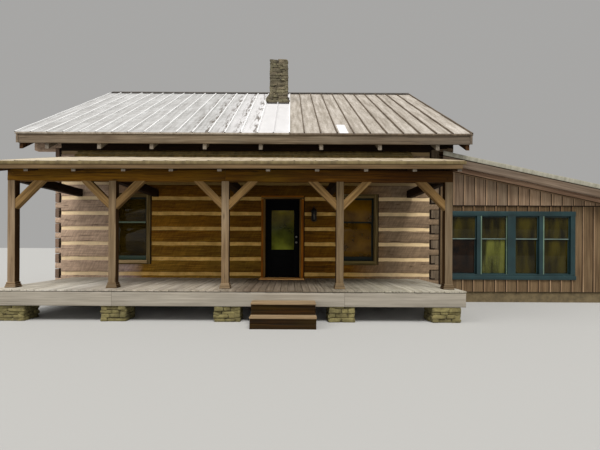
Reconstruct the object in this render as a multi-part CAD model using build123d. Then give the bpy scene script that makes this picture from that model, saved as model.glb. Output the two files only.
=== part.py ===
"""Two-room log cabin with a covered front porch and a sided lean-to wing.

Lengths are in metres in the tables below and are turned to millimetres when a
solid is made.  Site frame: X along the front (viewer's right is +X), Y from the
front log face to the back, Z up from the lowest ground.  Every solid is then
shifted so that the origin is the middle of the footprint on the ground.
"""

import math
import os

from build123d import *

os.makedirs("parts", exist_ok=True)

# ---- driving dimensions (m) -------------------------------------------------
SHIFT_X, SHIFT_Y = -2.26, -3.26        # site frame to part frame

HALF_L = 5.045          # half length of the log body along X
DEPTH = 9.34            # depth of the log body along Y
LOG_T = 0.20            # log thickness through the wall
PITCH = 0.3973          # one course of log and chinking
LOG_H = 0.3033          # height of a hewn log
SILL_Z = 0.3647         # underside of the front sill log
COURSES = 10
TONGUE = 0.0725         # half height of the front logs' tongues at the corners
CHINK_IN = 0.03         # chinking set back from the log faces

DECK_Z = 0.61           # top of deck and cabin floor
DECK_X0, DECK_X1 = -4.60, 4.505
DECK_Y0 = -2.79
BOARD_T = 0.030

POST_X = (-4.40, -2.40, -0.158, 2.12, 4.277)
POST_W = 0.148
POST_Y0 = -2.50
BEAM_Z0, BEAM_Z1 = 2.738, 2.97
BRACE_LEG, BRACE_V = 0.56, 0.198

ROOF_X0, ROOF_X1 = -5.70, 5.655        # ends of the main roof sheet
RAKE_X0, RAKE_X1 = -5.672, 5.642       # outer faces of its rake boards
EAVE_Y, EAVE_Z = -0.60, 4.242
RIDGE_Y, RIDGE_Z = 4.67, 7.323
SLOPE = (RIDGE_Z - EAVE_Z) / (RIDGE_Y - EAVE_Y)
ROOF_T = 0.03

CH_X0, CH_X1, CH_Y0, CH_Y1, CH_TOP = 0.46, 1.035, 2.97, 3.575, 7.81

P_SLOPE, P_EAVE_Y, P_EAVE_Z = 0.252, -2.84, 3.075
P_X0, P_X1 = -4.50, 4.46   # ends of the porch sheet; the fascia ends at P_X1 - 0.06

ADD_X1 = 9.92           # outer face of the wing's end wall
ADD_Y0, ADD_Y1 = 0.03, 6.13
ADD_T = 0.15
A_TOP, A_SLOPE, A_EAVE_X = 3.908, 0.211, 10.22

# openings: (x0, x1, z0, z1) of the sash opening in an X wall
FRONT_WINDOWS = ((-3.50, -2.64, 1.07, 2.73), (2.475, 3.336, 1.07, 2.73))
SIDE_WINDOWS_LEFT = ((2.10, 2.96, 1.07, 2.73), (6.38, 7.24, 1.07, 2.73))
SIDE_WINDOWS_RIGHT = ((7.30, 8.16, 1.07, 2.73),)
BUCK = 0.10             # wood frame round each window, in the log wall
DOOR_X0, DOOR_X1 = 0.491, 1.383
DOOR_Z0, DOOR_Z1 = 0.646, 2.681
DOOR_Y0, DOOR_Y1 = 0.135, 0.180
INNER_DOOR = (1.50, 2.50, 0.61, 2.6545)


# ---- helpers ----------------------------------------------------------------
def v(x, y, z):
    return Vector((x + SHIFT_X) * 1000, (y + SHIFT_Y) * 1000, z * 1000)


def box(x0, x1, y0, y1, z0, z1):
    p = v(x0, y0, z0)
    return Pos(p.X, p.Y, p.Z) * Solid.make_box(
        (x1 - x0) * 1000, (y1 - y0) * 1000, (z1 - z0) * 1000
    )


def prism(points, step):
    face = Face(Wire.make_polygon(points, close=True))
    return Solid.extrude(face, step)


def prism_x(yz, x0, x1):
    return prism([v(x0, y, z) for y, z in yz], Vector((x1 - x0) * 1000, 0, 0))


def prism_y(xz, y0, y1):
    return prism([v(x, y0, z) for x, z in xz], Vector(0, (y1 - y0) * 1000, 0))


def prism_z(xy, z0, z1):
    return prism([v(x, y, z0) for x, y in xy], Vector(0, 0, (z1 - z0) * 1000))


def rod(x, y0, y1, z, r):
    p = v(x, y0, z)
    plane = Plane(origin=(p.X, p.Y, p.Z), z_dir=(0, 1, 0))
    return Solid.make_cylinder(r * 1000, (y1 - y0) * 1000, plane)


def less(solids, cuts):
    out = []
    for s in solids:
        rest = s
        for c in cuts:
            rest = rest - c
        out.extend(rest.solids())
    return out


def save(name, solids):
    solids = list(solids)
    for s in solids:
        assert s.is_valid and s.volume > 0, name
    shape = solids[0] if len(solids) == 1 else Compound(children=solids)
    export_step(shape, "parts/" + name + ".step")


def roof_top(y):
    return EAVE_Z + SLOPE * (min(y, 2 * RIDGE_Y - y) - EAVE_Y)


def porch_top(y):
    return P_EAVE_Z + P_SLOPE * (y - P_EAVE_Y)


def wing_top(x):
    return A_TOP - A_SLOPE * (x - HALF_L)


# ---- foundation and floor ---------------------------------------------------
HL_IN = HALF_L - LOG_T
side_base = SILL_Z + LOG_H / 2 - PITCH / 2 - LOG_H / 2  # underside of the side sill logs
G = 0.001
save("cabin_foundation", [
    box(-HALF_L, -HALF_L + 0.25, 0, DEPTH, 0, side_base),
    box(HALF_L - 0.25, HALF_L, 0, DEPTH, 0, side_base),
    box(-HALF_L + 0.25 + G, HALF_L - 0.25 - G, 0, 0.30, 0, SILL_Z),
    box(-HALF_L + 0.25 + G, HALF_L - 0.25 - G, DEPTH - 0.30, DEPTH, 0, SILL_Z),
])
save("cabin_floor", [
    box(-HL_IN, HL_IN, LOG_T, DEPTH - LOG_T, SILL_Z, DECK_Z)
    - box(CH_X0, CH_X1, CH_Y0, CH_Y1, 0, 1)
])


# ---- log walls --------------------------------------------------------------
def course_z(k):
    z0 = SILL_Z + PITCH * k
    return z0, z0 + LOG_H


def x_log(k, y0, y1):
    z0, z1 = course_z(k)
    zc = (z0 + z1) / 2
    a, b = HL_IN, HALF_L
    return prism_y([
        (-a, z0), (a, z0), (a, zc - TONGUE), (b, zc - TONGUE), (b, zc + TONGUE),
        (a, zc + TONGUE), (a, z1), (-a, z1), (-a, zc + TONGUE), (-b, zc + TONGUE),
        (-b, zc - TONGUE), (-a, zc - TONGUE),
    ], y0, y1)


def plate_log(y0, y1, left, right):
    z0, z1 = course_z(COURSES - 1)
    zn = (z0 + z1) / 2 - TONGUE
    a, b = HL_IN, HALF_L
    return prism_y([
        (-left, z0), (-b, z0), (-b, zn), (-a, zn), (-a, z0), (a, z0), (a, zn),
        (b, zn), (b, z0), (right, z0), (right, z1), (-left, z1),
    ], y0, y1)


def y_log(k, x0, x1):
    zc = SILL_Z + LOG_H / 2 + PITCH * (k + 0.5)
    z0, z1 = zc - LOG_H / 2, zc + LOG_H / 2
    h = PITCH / 2 - TONGUE
    a, b = LOG_T, DEPTH - LOG_T
    return prism_x([
        (0, zc - h), (a, zc - h), (a, z0), (b, z0), (b, zc - h), (DEPTH, zc - h),
        (DEPTH, zc + h), (b, zc + h), (b, z1), (a, z1), (a, zc + h), (0, zc + h),
    ], x0, x1)


def rough(w, y0, y1):
    x0, x1, z0, z1 = w
    return box(x0 - BUCK, x1 + BUCK, y0 - 0.1, y1 + 0.1, z0 - BUCK, z1 + BUCK)


def rough_side(w, x0, x1):
    y0, y1, z0, z1 = w
    return box(x0 - 0.1, x1 + 0.1, y0 - BUCK, y1 + BUCK, z0 - BUCK, z1 + BUCK)


door_rx0, door_rx1, door_rz0 = 0.431, 1.443, 0.60
door_rz1 = course_z(6)[0]
door_hole = box(door_rx0, door_rx1, -0.1, 0.3, door_rz0, door_rz1)
front_holes = [rough(w, 0, LOG_T) for w in FRONT_WINDOWS] + [door_hole]
back_holes = [rough(w, DEPTH - LOG_T, DEPTH) for w in FRONT_WINDOWS]
left_holes = [rough_side(w, -HALF_L, -HL_IN) for w in SIDE_WINDOWS_LEFT]
iy0, iy1, iz0, iz1 = INNER_DOOR
right_holes = [rough_side(w, HL_IN, HALF_L) for w in SIDE_WINDOWS_RIGHT] + [
    box(HL_IN - 0.1, HALF_L + 0.1, iy0 - 0.06, iy1 + 0.06, iz0, iz1 + 0.06)
]

save("front_sill_log", less([x_log(0, 0, LOG_T)], front_holes))
low = []
for k in range(1, 6):
    low += less([x_log(k, 0, LOG_T)], front_holes)
mid = (0.937 + SHIFT_X) * 1000
save("front_logs_left", [s for s in low if s.center().X < mid])
save("front_logs_right", [s for s in low if s.center().X > mid])
high = []
for k in range(6, COURSES - 1):
    high += less([x_log(k, 0, LOG_T)], front_holes)
save("front_logs_over_door", high + [plate_log(0, LOG_T, 5.60, 5.42)])

back = []
for k in range(COURSES - 1):
    back += less([x_log(k, DEPTH - LOG_T, DEPTH)], back_holes)
save("back_logs", back + [plate_log(DEPTH - LOG_T, DEPTH, 5.60, 5.42)])

left, right = [], []
for k in range(-1, COURSES - 1):
    left += less([y_log(k, -HALF_L, -HL_IN)], left_holes)
    right += less([y_log(k, HL_IN, HALF_L)], right_holes)
save("left_logs", left)
save("right_logs", right)

# chinking between the courses
chink = []
for k in range(COURSES - 1):
    z0, z1 = course_z(k)[1], course_z(k + 1)[0]
    chink += less([box(-HL_IN, HL_IN, CHINK_IN, LOG_T - CHINK_IN, z0, z1)], front_holes)
    chink += less([box(-HL_IN, HL_IN, DEPTH - LOG_T + CHINK_IN, DEPTH - CHINK_IN, z0, z1)], back_holes)
    z0, z1 = z0 - PITCH / 2, z1 - PITCH / 2
    y0, y1 = LOG_T, DEPTH - LOG_T
    chink += less([box(-HALF_L + CHINK_IN, -HL_IN - CHINK_IN, y0, y1, z0, z1)], left_holes)
    chink += less([box(HL_IN + CHINK_IN, HALF_L - CHINK_IN, y0, y1, z0, z1)], right_holes)
save("chinking", chink)

# ---- gables, rafters and main roof -----------------------------------------
side_top = SILL_Z + LOG_H / 2 + PITCH * (COURSES - 1.5) + LOG_H / 2
plate_top = course_z(COURSES - 1)[1]


def under(y):
    return roof_top(y) - ROOF_T


gable = [
    (LOG_T, side_top), (DEPTH - LOG_T, side_top), (DEPTH - LOG_T, plate_top),
    (DEPTH, plate_top), (DEPTH, under(DEPTH)), (RIDGE_Y, under(RIDGE_Y)),
    (0, under(0)), (0, plate_top), (LOG_T, plate_top),
]
save("left_gable", [prism_x(gable, -HALF_L, -HALF_L + 0.055)])
save("right_gable", [prism_x(gable, HALF_L - 0.055, HALF_L)])

RAFTER_X = (-4.935, -3.636, -2.331, -1.005, 0.390, 1.901, 3.362, 4.801)
RAFTER_W = 0.09
RAFTER_D = 0.39         # plumb depth; the foot is notched over the plate log
save("ridge_board", [
    box(a, b, RIDGE_Y - 0.02, RIDGE_Y + 0.02, 6.98, under(RIDGE_Y - 0.02))
    for a, b in ((RAKE_X0 + 0.051, -HALF_L), (-HALF_L + 0.055, HALF_L - 0.055), (HALF_L, RAKE_X1 - 0.051))
])
rafters = []
for x in (-5.575,) + RAFTER_X + (5.545,):
    for side in (0, 1):
        ya, yb = -0.54, RIDGE_Y - 0.02
        pts = [(ya, under(ya)), (yb, under(yb)), (yb, under(yb) - RAFTER_D),
               (0.1225, plate_top + G), (-0.001, plate_top + G), (-0.001, under(-0.001) - RAFTER_D),
               (ya, under(ya) - RAFTER_D)]
        if side:
            pts = [(2 * RIDGE_Y - y, z) for y, z in pts]
        rafters.append(prism_x(pts, x - RAFTER_W / 2, x + RAFTER_W / 2))
save("main_rafters", rafters)


def slope_slab(y0, y1, t, x0, x1):
    return prism_x([(y0, roof_top(y0)), (y1, roof_top(y1)),
                    (y1, roof_top(y1) - t), (y0, roof_top(y0) - t)], x0, x1)


save("main_roof_front", [
    slope_slab(EAVE_Y, RIDGE_Y, ROOF_T, ROOF_X0, ROOF_X1)
    - box(CH_X0, CH_X1, CH_Y0, CH_Y1, 0, 9)
])
save("main_roof_back", [slope_slab(RIDGE_Y, 2 * RIDGE_Y - EAVE_Y, ROOF_T, ROOF_X0, ROOF_X1)])
cap = 0.014
save("ridge_cap", [prism_x([
    (RIDGE_Y - 0.17, roof_top(RIDGE_Y - 0.17)), (RIDGE_Y, RIDGE_Z), (RIDGE_Y + 0.17, roof_top(RIDGE_Y - 0.17)),
    (RIDGE_Y + 0.17, roof_top(RIDGE_Y - 0.17) + cap), (RIDGE_Y, RIDGE_Z + cap),
    (RIDGE_Y - 0.17, roof_top(RIDGE_Y - 0.17) + cap)], ROOF_X0, ROOF_X1)])
save("eave_fascias", [
    box(RAKE_X0 + 0.051, RAKE_X1 - 0.051, -0.58, -0.54 - G, 3.995, EAVE_Z - ROOF_T),
    box(RAKE_X0 + 0.051, RAKE_X1 - 0.051, DEPTH + 0.54 + G, DEPTH + 0.58, 3.995, EAVE_Z - ROOF_T),
])
rakes = []
for x0 in (RAKE_X0, RAKE_X1 - 0.05):
    for side in (0, 1):
        ya, yb = EAVE_Y, RIDGE_Y - 0.001
        pts = [(ya, under(ya)), (yb, under(yb)), (yb, under(yb) - 0.22), (ya, under(ya) - 0.22)]
        if side:
            pts = [(2 * RIDGE_Y - y, z) for y, z in pts]
        rakes.append(prism_x(pts, x0, x0 + 0.05))
save("rake_boards", rakes)

# ---- chimney ----------------------------------------------------------------
save("chimney", [
    box(CH_X0, CH_X1, CH_Y0, CH_Y1, 0, CH_TOP)
    - box(CH_X0 + 0.14, CH_X1 - 0.14, CH_Y0 + 0.15, CH_Y1 - 0.15, 1.0, CH_TOP + 1)
])

# ---- front door -------------------------------------------------------------
jl, jr = DOOR_X0 - 0.005, DOOR_X1 + 0.005
th = 0.640
left_jamb = prism_z([
    (0.323, -0.025), (0.470, -0.025), (0.470, 0), (jl, 0), (jl, 0.095), (jl + 0.014, 0.095),
    (jl + 0.014, 0.130), (jl, 0.130), (jl, LOG_T), (door_rx0, LOG_T), (door_rx0, 0), (0.323, 0),
], th, 2.686)
right_jamb = prism_z([
    (1.404, -0.025), (1.488, -0.025), (1.488, 0), (door_rx1, 0), (door_rx1, LOG_T), (jr, LOG_T),
    (jr, 0.130), (jr - 0.014, 0.130), (jr - 0.014, 0.095), (jr, 0.095), (jr, 0), (1.404, 0),
], th, 2.686)
head = box(door_rx0, door_rx1, 0, LOG_T, 2.687, door_rz1)
save("door_frame", [left_jamb, right_jamb, head, box(0.323, 1.488, -0.0255, -0.0005, 2.690, 2.773)])
save("door_threshold", [
    box(door_rx0, door_rx1, 0, LOG_T, door_rz0, th)
    + box(0.320, 1.488, -0.50, 0, DECK_Z, th)
])
gx0, gx1, gz0, gz1 = 0.636, 1.241, 1.36, 2.41
save("door_leaf", [
    box(DOOR_X0, DOOR_X1, DOOR_Y0, DOOR_Y1, DOOR_Z0, DOOR_Z1)
    - box(gx0, gx1, 0, 1, gz0, gz1)
])
save("door_glass", [box(gx0, gx1, 0.150, 0.165, gz0, gz1)])
KX, KZ, BZ = 1.304, 1.555, 1.705
knob_out = rod(KX, DOOR_Y0 - 0.008, DOOR_Y0, KZ, 0.032) + rod(KX, DOOR_Y0 - 0.03, DOOR_Y0 - 0.008, KZ, 0.011) \
    + rod(KX, DOOR_Y0 - 0.062, DOOR_Y0 - 0.03, KZ, 0.027)
knob_in = rod(KX, DOOR_Y1, DOOR_Y1 + 0.008, KZ, 0.032) + rod(KX, DOOR_Y1 + 0.008, DOOR_Y1 + 0.03, KZ, 0.011) \
    + rod(KX, DOOR_Y1 + 0.03, DOOR_Y1 + 0.062, KZ, 0.027)
save("door_knobs", [
    *knob_out.solids(), *knob_in.solids(),
    rod(KX, DOOR_Y0 - 0.018, DOOR_Y0, BZ, 0.028), rod(KX, DOOR_Y1, DOOR_Y1 + 0.014, BZ, 0.028),
])


# ---- cabin windows ----------------------------------------------------------
def window_parts(a0, a1, z0, z1, make, d0, d1, s0, s1, g0, g1):
    """Wood frame bars, sash bars and glass; make(a0, a1, d0, d1, z0, z1)."""
    frame = [
        make(a0 - BUCK, a0, d0, d1, z0 - BUCK, z1 + BUCK),
        make(a1, a1 + BUCK, d0, d1, z0 - BUCK, z1 + BUCK),
        make(a0 + G, a1 - G, d0, d1, z0 - BUCK, z0),
        make(a0 + G, a1 - G, d0, d1, z1, z1 + BUCK),
    ]
    w, mz = 0.055, (z0 + z1) / 2 + 0.19
    sash = [
        make(a0, a0 + w, s0, s1, z0, z1),
        make(a1 - w, a1, s0, s1, z0, z1),
        make(a0 + w + G, a1 - w - G, s0, s1, z0, z0 + 0.105),
        make(a0 + w + G, a1 - w - G, s0, s1, z1 - w, z1),
        make(a0 + w + G, a1 - w - G, s0, s1, mz - 0.025, mz + 0.025),
    ]
    glass = [
        make(a0 + w, a1 - w, g0, g1, z0 + 0.105, mz - 0.025),
        make(a0 + w, a1 - w, g0, g1, mz + 0.025, z1 - w),
    ]
    return frame, sash, glass


def on_x(a0, a1, d0, d1, z0, z1):
    return box(a0, a1, min(d0, d1), max(d0, d1), z0, z1)


def on_y(a0, a1, d0, d1, z0, z1):
    return box(min(d0, d1), max(d0, d1), a0, a1, z0, z1)


frames, sashes, panes = [], [], []


def add_window(w, make, outer, inward):
    a0, a1, z0, z1 = w
    f, s, g = window_parts(a0, a1, z0, z1, make,
                           outer - 0.02 * inward, outer + LOG_T * inward,
                           outer + 0.05 * inward, outer + 0.10 * inward,
                           outer + 0.070 * inward, outer + 0.080 * inward)
    frames.extend(f)
    sashes.extend(s)
    panes.extend(g)


for w in FRONT_WINDOWS:
    add_window(w, on_x, 0.0, 1)
    add_window(w, on_x, DEPTH, -1)
for w in SIDE_WINDOWS_LEFT:
    add_window(w, on_y, -HALF_L, 1)
for w in SIDE_WINDOWS_RIGHT:
    add_window(w, on_y, HALF_L, -1)
save("cabin_window_frames", frames)
save("cabin_sashes", sashes)
save("cabin_window_glass", panes)

# cased opening between the cabin and the wing
save("inner_door_frame", [
    box(HL_IN, HALF_L, iy0 - 0.06, iy0, DECK_Z, iz1),
    box(HL_IN, HALF_L, iy1, iy1 + 0.06, DECK_Z, iz1),
    box(HL_IN, HALF_L, iy0 - 0.06, iy1 + 0.06, iz1 + G, iz1 + 0.06),
])

# lantern on the log wall
save("wall_lantern", [
    box(1.712, 1.792, -0.02, -0.0005, 2.20, 2.40)
    + box(1.732, 1.772, -0.12, -0.02, 2.40, 2.42) + box(1.732, 1.772, -0.02, -0.0005, 2.40, 2.42)
    + box(1.672, 1.832, -0.20, -0.04, 2.37, 2.40)
    + box(1.687, 1.817, -0.185, -0.055, 2.11, 2.37)
])

# ---- deck -------------------------------------------------------------------
rim_z0, rim_z1 = 0.300, DECK_Z - BOARD_T
save("deck_boards", [box(DECK_X0, DECK_X1, DECK_Y0, 0, rim_z1, DECK_Z)])
framing = [
    box(DECK_X0 + 0.01, DECK_X1 - 0.01, DECK_Y0 + 0.01, DECK_Y0 + 0.05, rim_z0, rim_z1),
    box(DECK_X0 + 0.01, DECK_X1 - 0.01, -0.04, 0, SILL_Z + 0.001, rim_z1),
    box(DECK_X0 + 0.01, DECK_X0 + 0.05, DECK_Y0 + 0.051, -0.041, rim_z0, rim_z1),
    box(DECK_X1 - 0.05, DECK_X1 - 0.01, DECK_Y0 + 0.051, -0.041, rim_z0, rim_z1),
]
n_joist = 14
for i in range(1, n_joist):
    x = DECK_X0 + (DECK_X1 - DECK_X0) * i / n_joist
    framing.append(box(x - 0.02, x + 0.02, DECK_Y0 + 0.051, -0.041, 0.39, rim_z1))
save("deck_framing", framing)
PIER_X = ((-4.46, -3.96), (-2.49, -2.01), (-0.318, 0.177), (1.882, 2.379), (3.861, 4.409))
save("deck_piers", [box(a, b, -2.76, -2.30, 0, rim_z0) for a, b in PIER_X])

# entry steps: two boxes, each with a tread board
sx0, sx1 = 0.418, 1.608
t = 0.030
sb0, sb1 = sx0 + 0.008, sx1 - 0.012
save("step_treads", [
    box(sx0, sx1, -3.42, -3.156, 0.214 - t, 0.214),
    box(sx0, sx1, -3.185, DECK_Y0, 0.425 - t, 0.425),
])
save("step_boxes", [
    box(sb0, sb1, -3.40, -3.36, 0, 0.214 - t),
    box(sb0, sb0 + 0.04, -3.359, DECK_Y0, 0, 0.214 - t),
    box(sb1 - 0.04, sb1, -3.359, DECK_Y0, 0, 0.214 - t),
    box(sb0, sb1, -3.155, -3.115, 0.214 - t + G, 0.425 - t),
    box(sb0, sb0 + 0.04, -3.114, DECK_Y0, 0.214 - t + G, 0.425 - t),
    box(sb1 - 0.04, sb1, -3.114, DECK_Y0, 0.214 - t + G, 0.425 - t),
])

# ---- porch ------------------------------------------------------------------
h = POST_W / 2
py0, py1 = POST_Y0, POST_Y0 + POST_W
base_h = 0.07
save("porch_posts", [box(x - h, x + h, py0, py1, DECK_Z + base_h, BEAM_Z0) for x in POST_X])
save("post_bases", [box(x - h - 0.03, x + h + 0.03, py0 - 0.03, py1 + 0.03, DECK_Z, DECK_Z + base_h)
                    for x in POST_X])
save("porch_beam", [box(POST_X[0] - h, POST_X[-1] + h, py0, py1, BEAM_Z0, BEAM_Z1)])
braces = []
for i, x in enumerate(POST_X):
    for s in (-1, 1):
        if (i == 0 and s < 0) or (i == 4 and s > 0):
            continue
        xp = x + s * h
        braces.append(prism_y([
            (xp, BEAM_Z0 - BRACE_LEG), (xp, BEAM_Z0 - BRACE_LEG + BRACE_V),
            (xp + s * (BRACE_LEG - BRACE_V), BEAM_Z0), (xp + s * BRACE_LEG, BEAM_Z0),
        ], py0 + 0.01, py1 - 0.01))
save("porch_braces", braces)
save("porch_ties", [box(x - 0.075, x + 0.075, py1, 0, BEAM_Z0, 2.93) for x in POST_X])
PR_X = (-4.455, -3.912, -3.004, -2.055, -1.147, -0.223, 0.703, 1.638, 2.573, 3.50, 4.355)
P_T = 0.035
p_rafters = []
for x in PR_X:
    ya, yb = -2.79, 0.0
    d = porch_top(py0) - P_T - BEAM_Z1
    p_rafters.append(prism_x([
        (ya, porch_top(ya) - P_T), (yb, porch_top(yb) - P_T),
        (yb, porch_top(yb) - P_T - d), (ya, porch_top(ya) - P_T - d)], x - 0.04, x + 0.04))
save("porch_rafters", p_rafters)
save("porch_roof", [prism_x([
    (P_EAVE_Y, porch_top(P_EAVE_Y)), (0, porch_top(0)), (0, porch_top(0) - P_T),
    (P_EAVE_Y, porch_top(P_EAVE_Y) - P_T)], P_X0, P_X1)])
ay = -0.205
save("porch_apron", [prism_x([
    (ay, porch_top(ay)), (ay + 0.03, porch_top(ay + 0.03)), (0, 3.925), (0, 3.955)], -4.44, 4.30)])
save("porch_fascia", [box(P_X0, P_X1 - 0.06, -2.83, -2.79, 2.93, P_EAVE_Z - P_T)])

# ---- wing -------------------------------------------------------------------
wf = 0.293              # underside of the wing's walls
wx0, wx1 = HALF_L + G, ADD_X1
save("wing_foundation", [
    box(wx0, wx1 - 0.03, ADD_Y0 + 0.02, ADD_Y0 + 0.15, 0, wf),
    box(wx1 - 0.15, wx1 - 0.03, ADD_Y0 + 0.151, ADD_Y1 - 0.151, 0, wf),
    box(wx0, wx1 - 0.03, ADD_Y1 - 0.15, ADD_Y1 - 0.02, 0, wf),
])
fz0, fz1 = 0.15, 0.30
save("wing_floor", [box(wx0, wx1 - ADD_T - G, ADD_Y0 + 0.151 + G, ADD_Y1 - 0.151 - G, fz0, fz1)])
W_T = 0.04              # wing roof slab


def wing_under(x):
    return wing_top(x) - W_T


WG = (5.25, 8.64, 0.602, 2.397)          # the front window group


def wing_long_wall(y0, y1):
    a0, a1, z0, z1 = WG
    return [
        box(wx0, wx1, y0, y1, wf, z0),
        box(wx0, a0, y0, y1, z0 + G, z1),
        box(a1, wx1, y0, y1, z0 + G, z1),
        prism_y([(wx0, z1 + G), (wx1, z1 + G), (wx1, wing_under(wx1)), (wx0, wing_under(wx0))], y0, y1),
    ]


save("wing_front_wall", wing_long_wall(ADD_Y0, ADD_Y0 + ADD_T))
save("wing_back_wall", wing_long_wall(ADD_Y1 - ADD_T, ADD_Y1))
ex0 = wx1 - ADD_T
ey0, ey1 = ADD_Y0 + ADD_T + G, ADD_Y1 - ADD_T - G
EG = (1.385, 4.775, 0.602, 2.397)
save("wing_end_wall", [
    box(ex0, wx1, ey0, ey1, wf, EG[2]),
    box(ex0, wx1, ey0, EG[0], EG[2] + G, EG[3]),
    box(ex0, wx1, EG[1], ey1, EG[2] + G, EG[3]),
    prism_y([(ex0, EG[3] + G), (wx1, EG[3] + G), (wx1, wing_under(wx1)), (ex0, wing_under(ex0))], ey0, ey1),
])

w_frames, w_sashes, w_panes = [], [], []


def wing_window(group, make, outer, inward):
    a0, a1, z0, z1 = group
    d0, d1 = outer - 0.025 * inward, outer + ADD_T * inward
    s0, s1 = outer + 0.03 * inward, outer + 0.075 * inward
    g0, g1 = outer + 0.048 * inward, outer + 0.056 * inward
    head_h, sill_h = 0.122, 0.140
    # fractions of the group's width taken from its left edge, in metres
    edges = (0.0, 0.155, 0.80, 0.925, 1.61, 1.82, 2.441, 2.565, 3.27, 3.39)
    w_frames.append(make(a0 + G, a1 - G, d0, d1, z0, z0 + sill_h))
    w_frames.append(make(a0 + G, a1 - G, d0, d1, z1 - head_h, z1))
    for i in range(0, 10, 2):
        lo = a0 + edges[i] + (G if i == 0 else 0)
        hi = a0 + edges[i + 1] - (G if i == 8 else 0)
        w_frames.append(make(lo, hi, d0, d1, z0 + sill_h + G, z1 - head_h - G))
    zb, zt = z0 + sill_h, z1 - head_h
    mz = 1.672
    for i in range(1, 9, 2):
        lo, hi = a0 + edges[i], a0 + edges[i + 1]
        w_sashes.append(make(lo + G, hi - G, s0, s1, mz - 0.022, mz + 0.022))
        w_panes.append(make(lo, hi, g0, g1, zb, mz - 0.022))
        w_panes.append(make(lo, hi, g0, g1, mz + 0.022, zt))


wing_window(WG, on_x, ADD_Y0, 1)
wing_window(WG, on_x, ADD_Y1, -1)
wing_window(EG, on_y, ADD_X1, -1)
save("wing_window_frames", w_frames)
save("wing_meeting_rails", w_sashes)
save("wing_glass", w_panes)

w_rafters = []
n = 9
for i in range(n):
    y = ADD_Y0 + ADD_T + 0.06 + (ADD_Y1 - ADD_Y0 - 2 * ADD_T - 0.12) * i / (n - 1)
    xa, xb = HALF_L, wx1 - ADD_T - G
    w_rafters.append(prism_y([(xa, wing_under(xa)), (xb, wing_under(xb)), (xb, wing_under(xb) - 0.18),
                              (xa, wing_under(xa) - 0.18)], y - 0.025, y + 0.025))
save("wing_rafters", w_rafters)
WRY0, WRY1 = -0.27, 6.43
save("wing_roof", [prism_y([
    (HALF_L, wing_top(HALF_L)), (A_EAVE_X, wing_top(A_EAVE_X)),
    (A_EAVE_X, wing_under(A_EAVE_X)), (HALF_L, wing_under(HALF_L))], WRY0, WRY1)])
tx = A_EAVE_X - 0.04


def wing_rake(y0, y1):
    xa, xb = HALF_L + G, tx - G
    return prism_y([(xa, wing_under(xa)), (xb, wing_under(xb)),
                    (xb, wing_under(xb) - 0.28), (xa, wing_under(xa) - 0.28)], y0, y1)


def frieze(y0, y1):
    xa, xb = HALF_L + 0.002, ADD_X1
    return prism_y([(xa, wing_under(xa) - 0.20), (xb, wing_under(xb) - 0.20),
                    (xb, wing_under(xb) - 0.341), (xa, wing_under(xa) - 0.341)], y0, y1)


save("wing_roof_trim", [
    wing_rake(WRY0, WRY0 + 0.035), wing_rake(WRY1 - 0.035, WRY1),
    box(tx, A_EAVE_X, WRY0, WRY1, wing_under(A_EAVE_X) - 0.19, wing_under(A_EAVE_X)),
    frieze(ADD_Y0 - 0.02, ADD_Y0), frieze(ADD_Y1, ADD_Y1 + 0.02),
])
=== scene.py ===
"""Looks of the log cabin: hewn logs, chinking, ribbed metal roofs, laid stone, boards and glass."""
import math
import bpy
import numpy as np
from mathutils import Matrix, Vector


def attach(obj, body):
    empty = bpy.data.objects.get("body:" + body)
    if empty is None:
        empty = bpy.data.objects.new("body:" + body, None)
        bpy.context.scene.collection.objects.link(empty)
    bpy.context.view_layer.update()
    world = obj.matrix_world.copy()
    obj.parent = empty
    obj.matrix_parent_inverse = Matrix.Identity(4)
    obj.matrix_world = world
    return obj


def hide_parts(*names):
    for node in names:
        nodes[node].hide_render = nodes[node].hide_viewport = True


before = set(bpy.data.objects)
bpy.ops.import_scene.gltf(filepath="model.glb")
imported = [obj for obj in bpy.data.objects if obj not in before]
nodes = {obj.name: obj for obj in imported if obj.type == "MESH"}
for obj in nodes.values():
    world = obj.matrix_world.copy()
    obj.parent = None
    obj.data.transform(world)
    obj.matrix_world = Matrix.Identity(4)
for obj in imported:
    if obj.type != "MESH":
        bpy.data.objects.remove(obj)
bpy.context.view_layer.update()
ROOT, DOOR = "cabin", "front_door"
SH = np.array([-2.26, -3.26, 0.0])      # site frame to part frame

# =============================================================================
# camera
# =============================================================================
cam_data = bpy.data.cameras.new("camera")
cam = bpy.data.objects.new("camera", cam_data)
bpy.context.scene.collection.objects.link(cam)
cam_data.sensor_fit = "HORIZONTAL"
cam_data.sensor_width = 36.0
cam_data.lens = 385.0 / 600.0 * 36.0
cam_data.shift_x = 0.0175
cam_data.shift_y = 0.035
cam_data.clip_end = 500
cam.matrix_world = (Matrix.Translation(Vector((1.12, -10.13, 1.46)) + Vector(SH))
                    @ Matrix.Rotation(math.radians(-0.27), 4, "Y")
                    @ Matrix.Rotation(math.radians(90), 4, "X"))
bpy.context.scene.camera = cam


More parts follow.
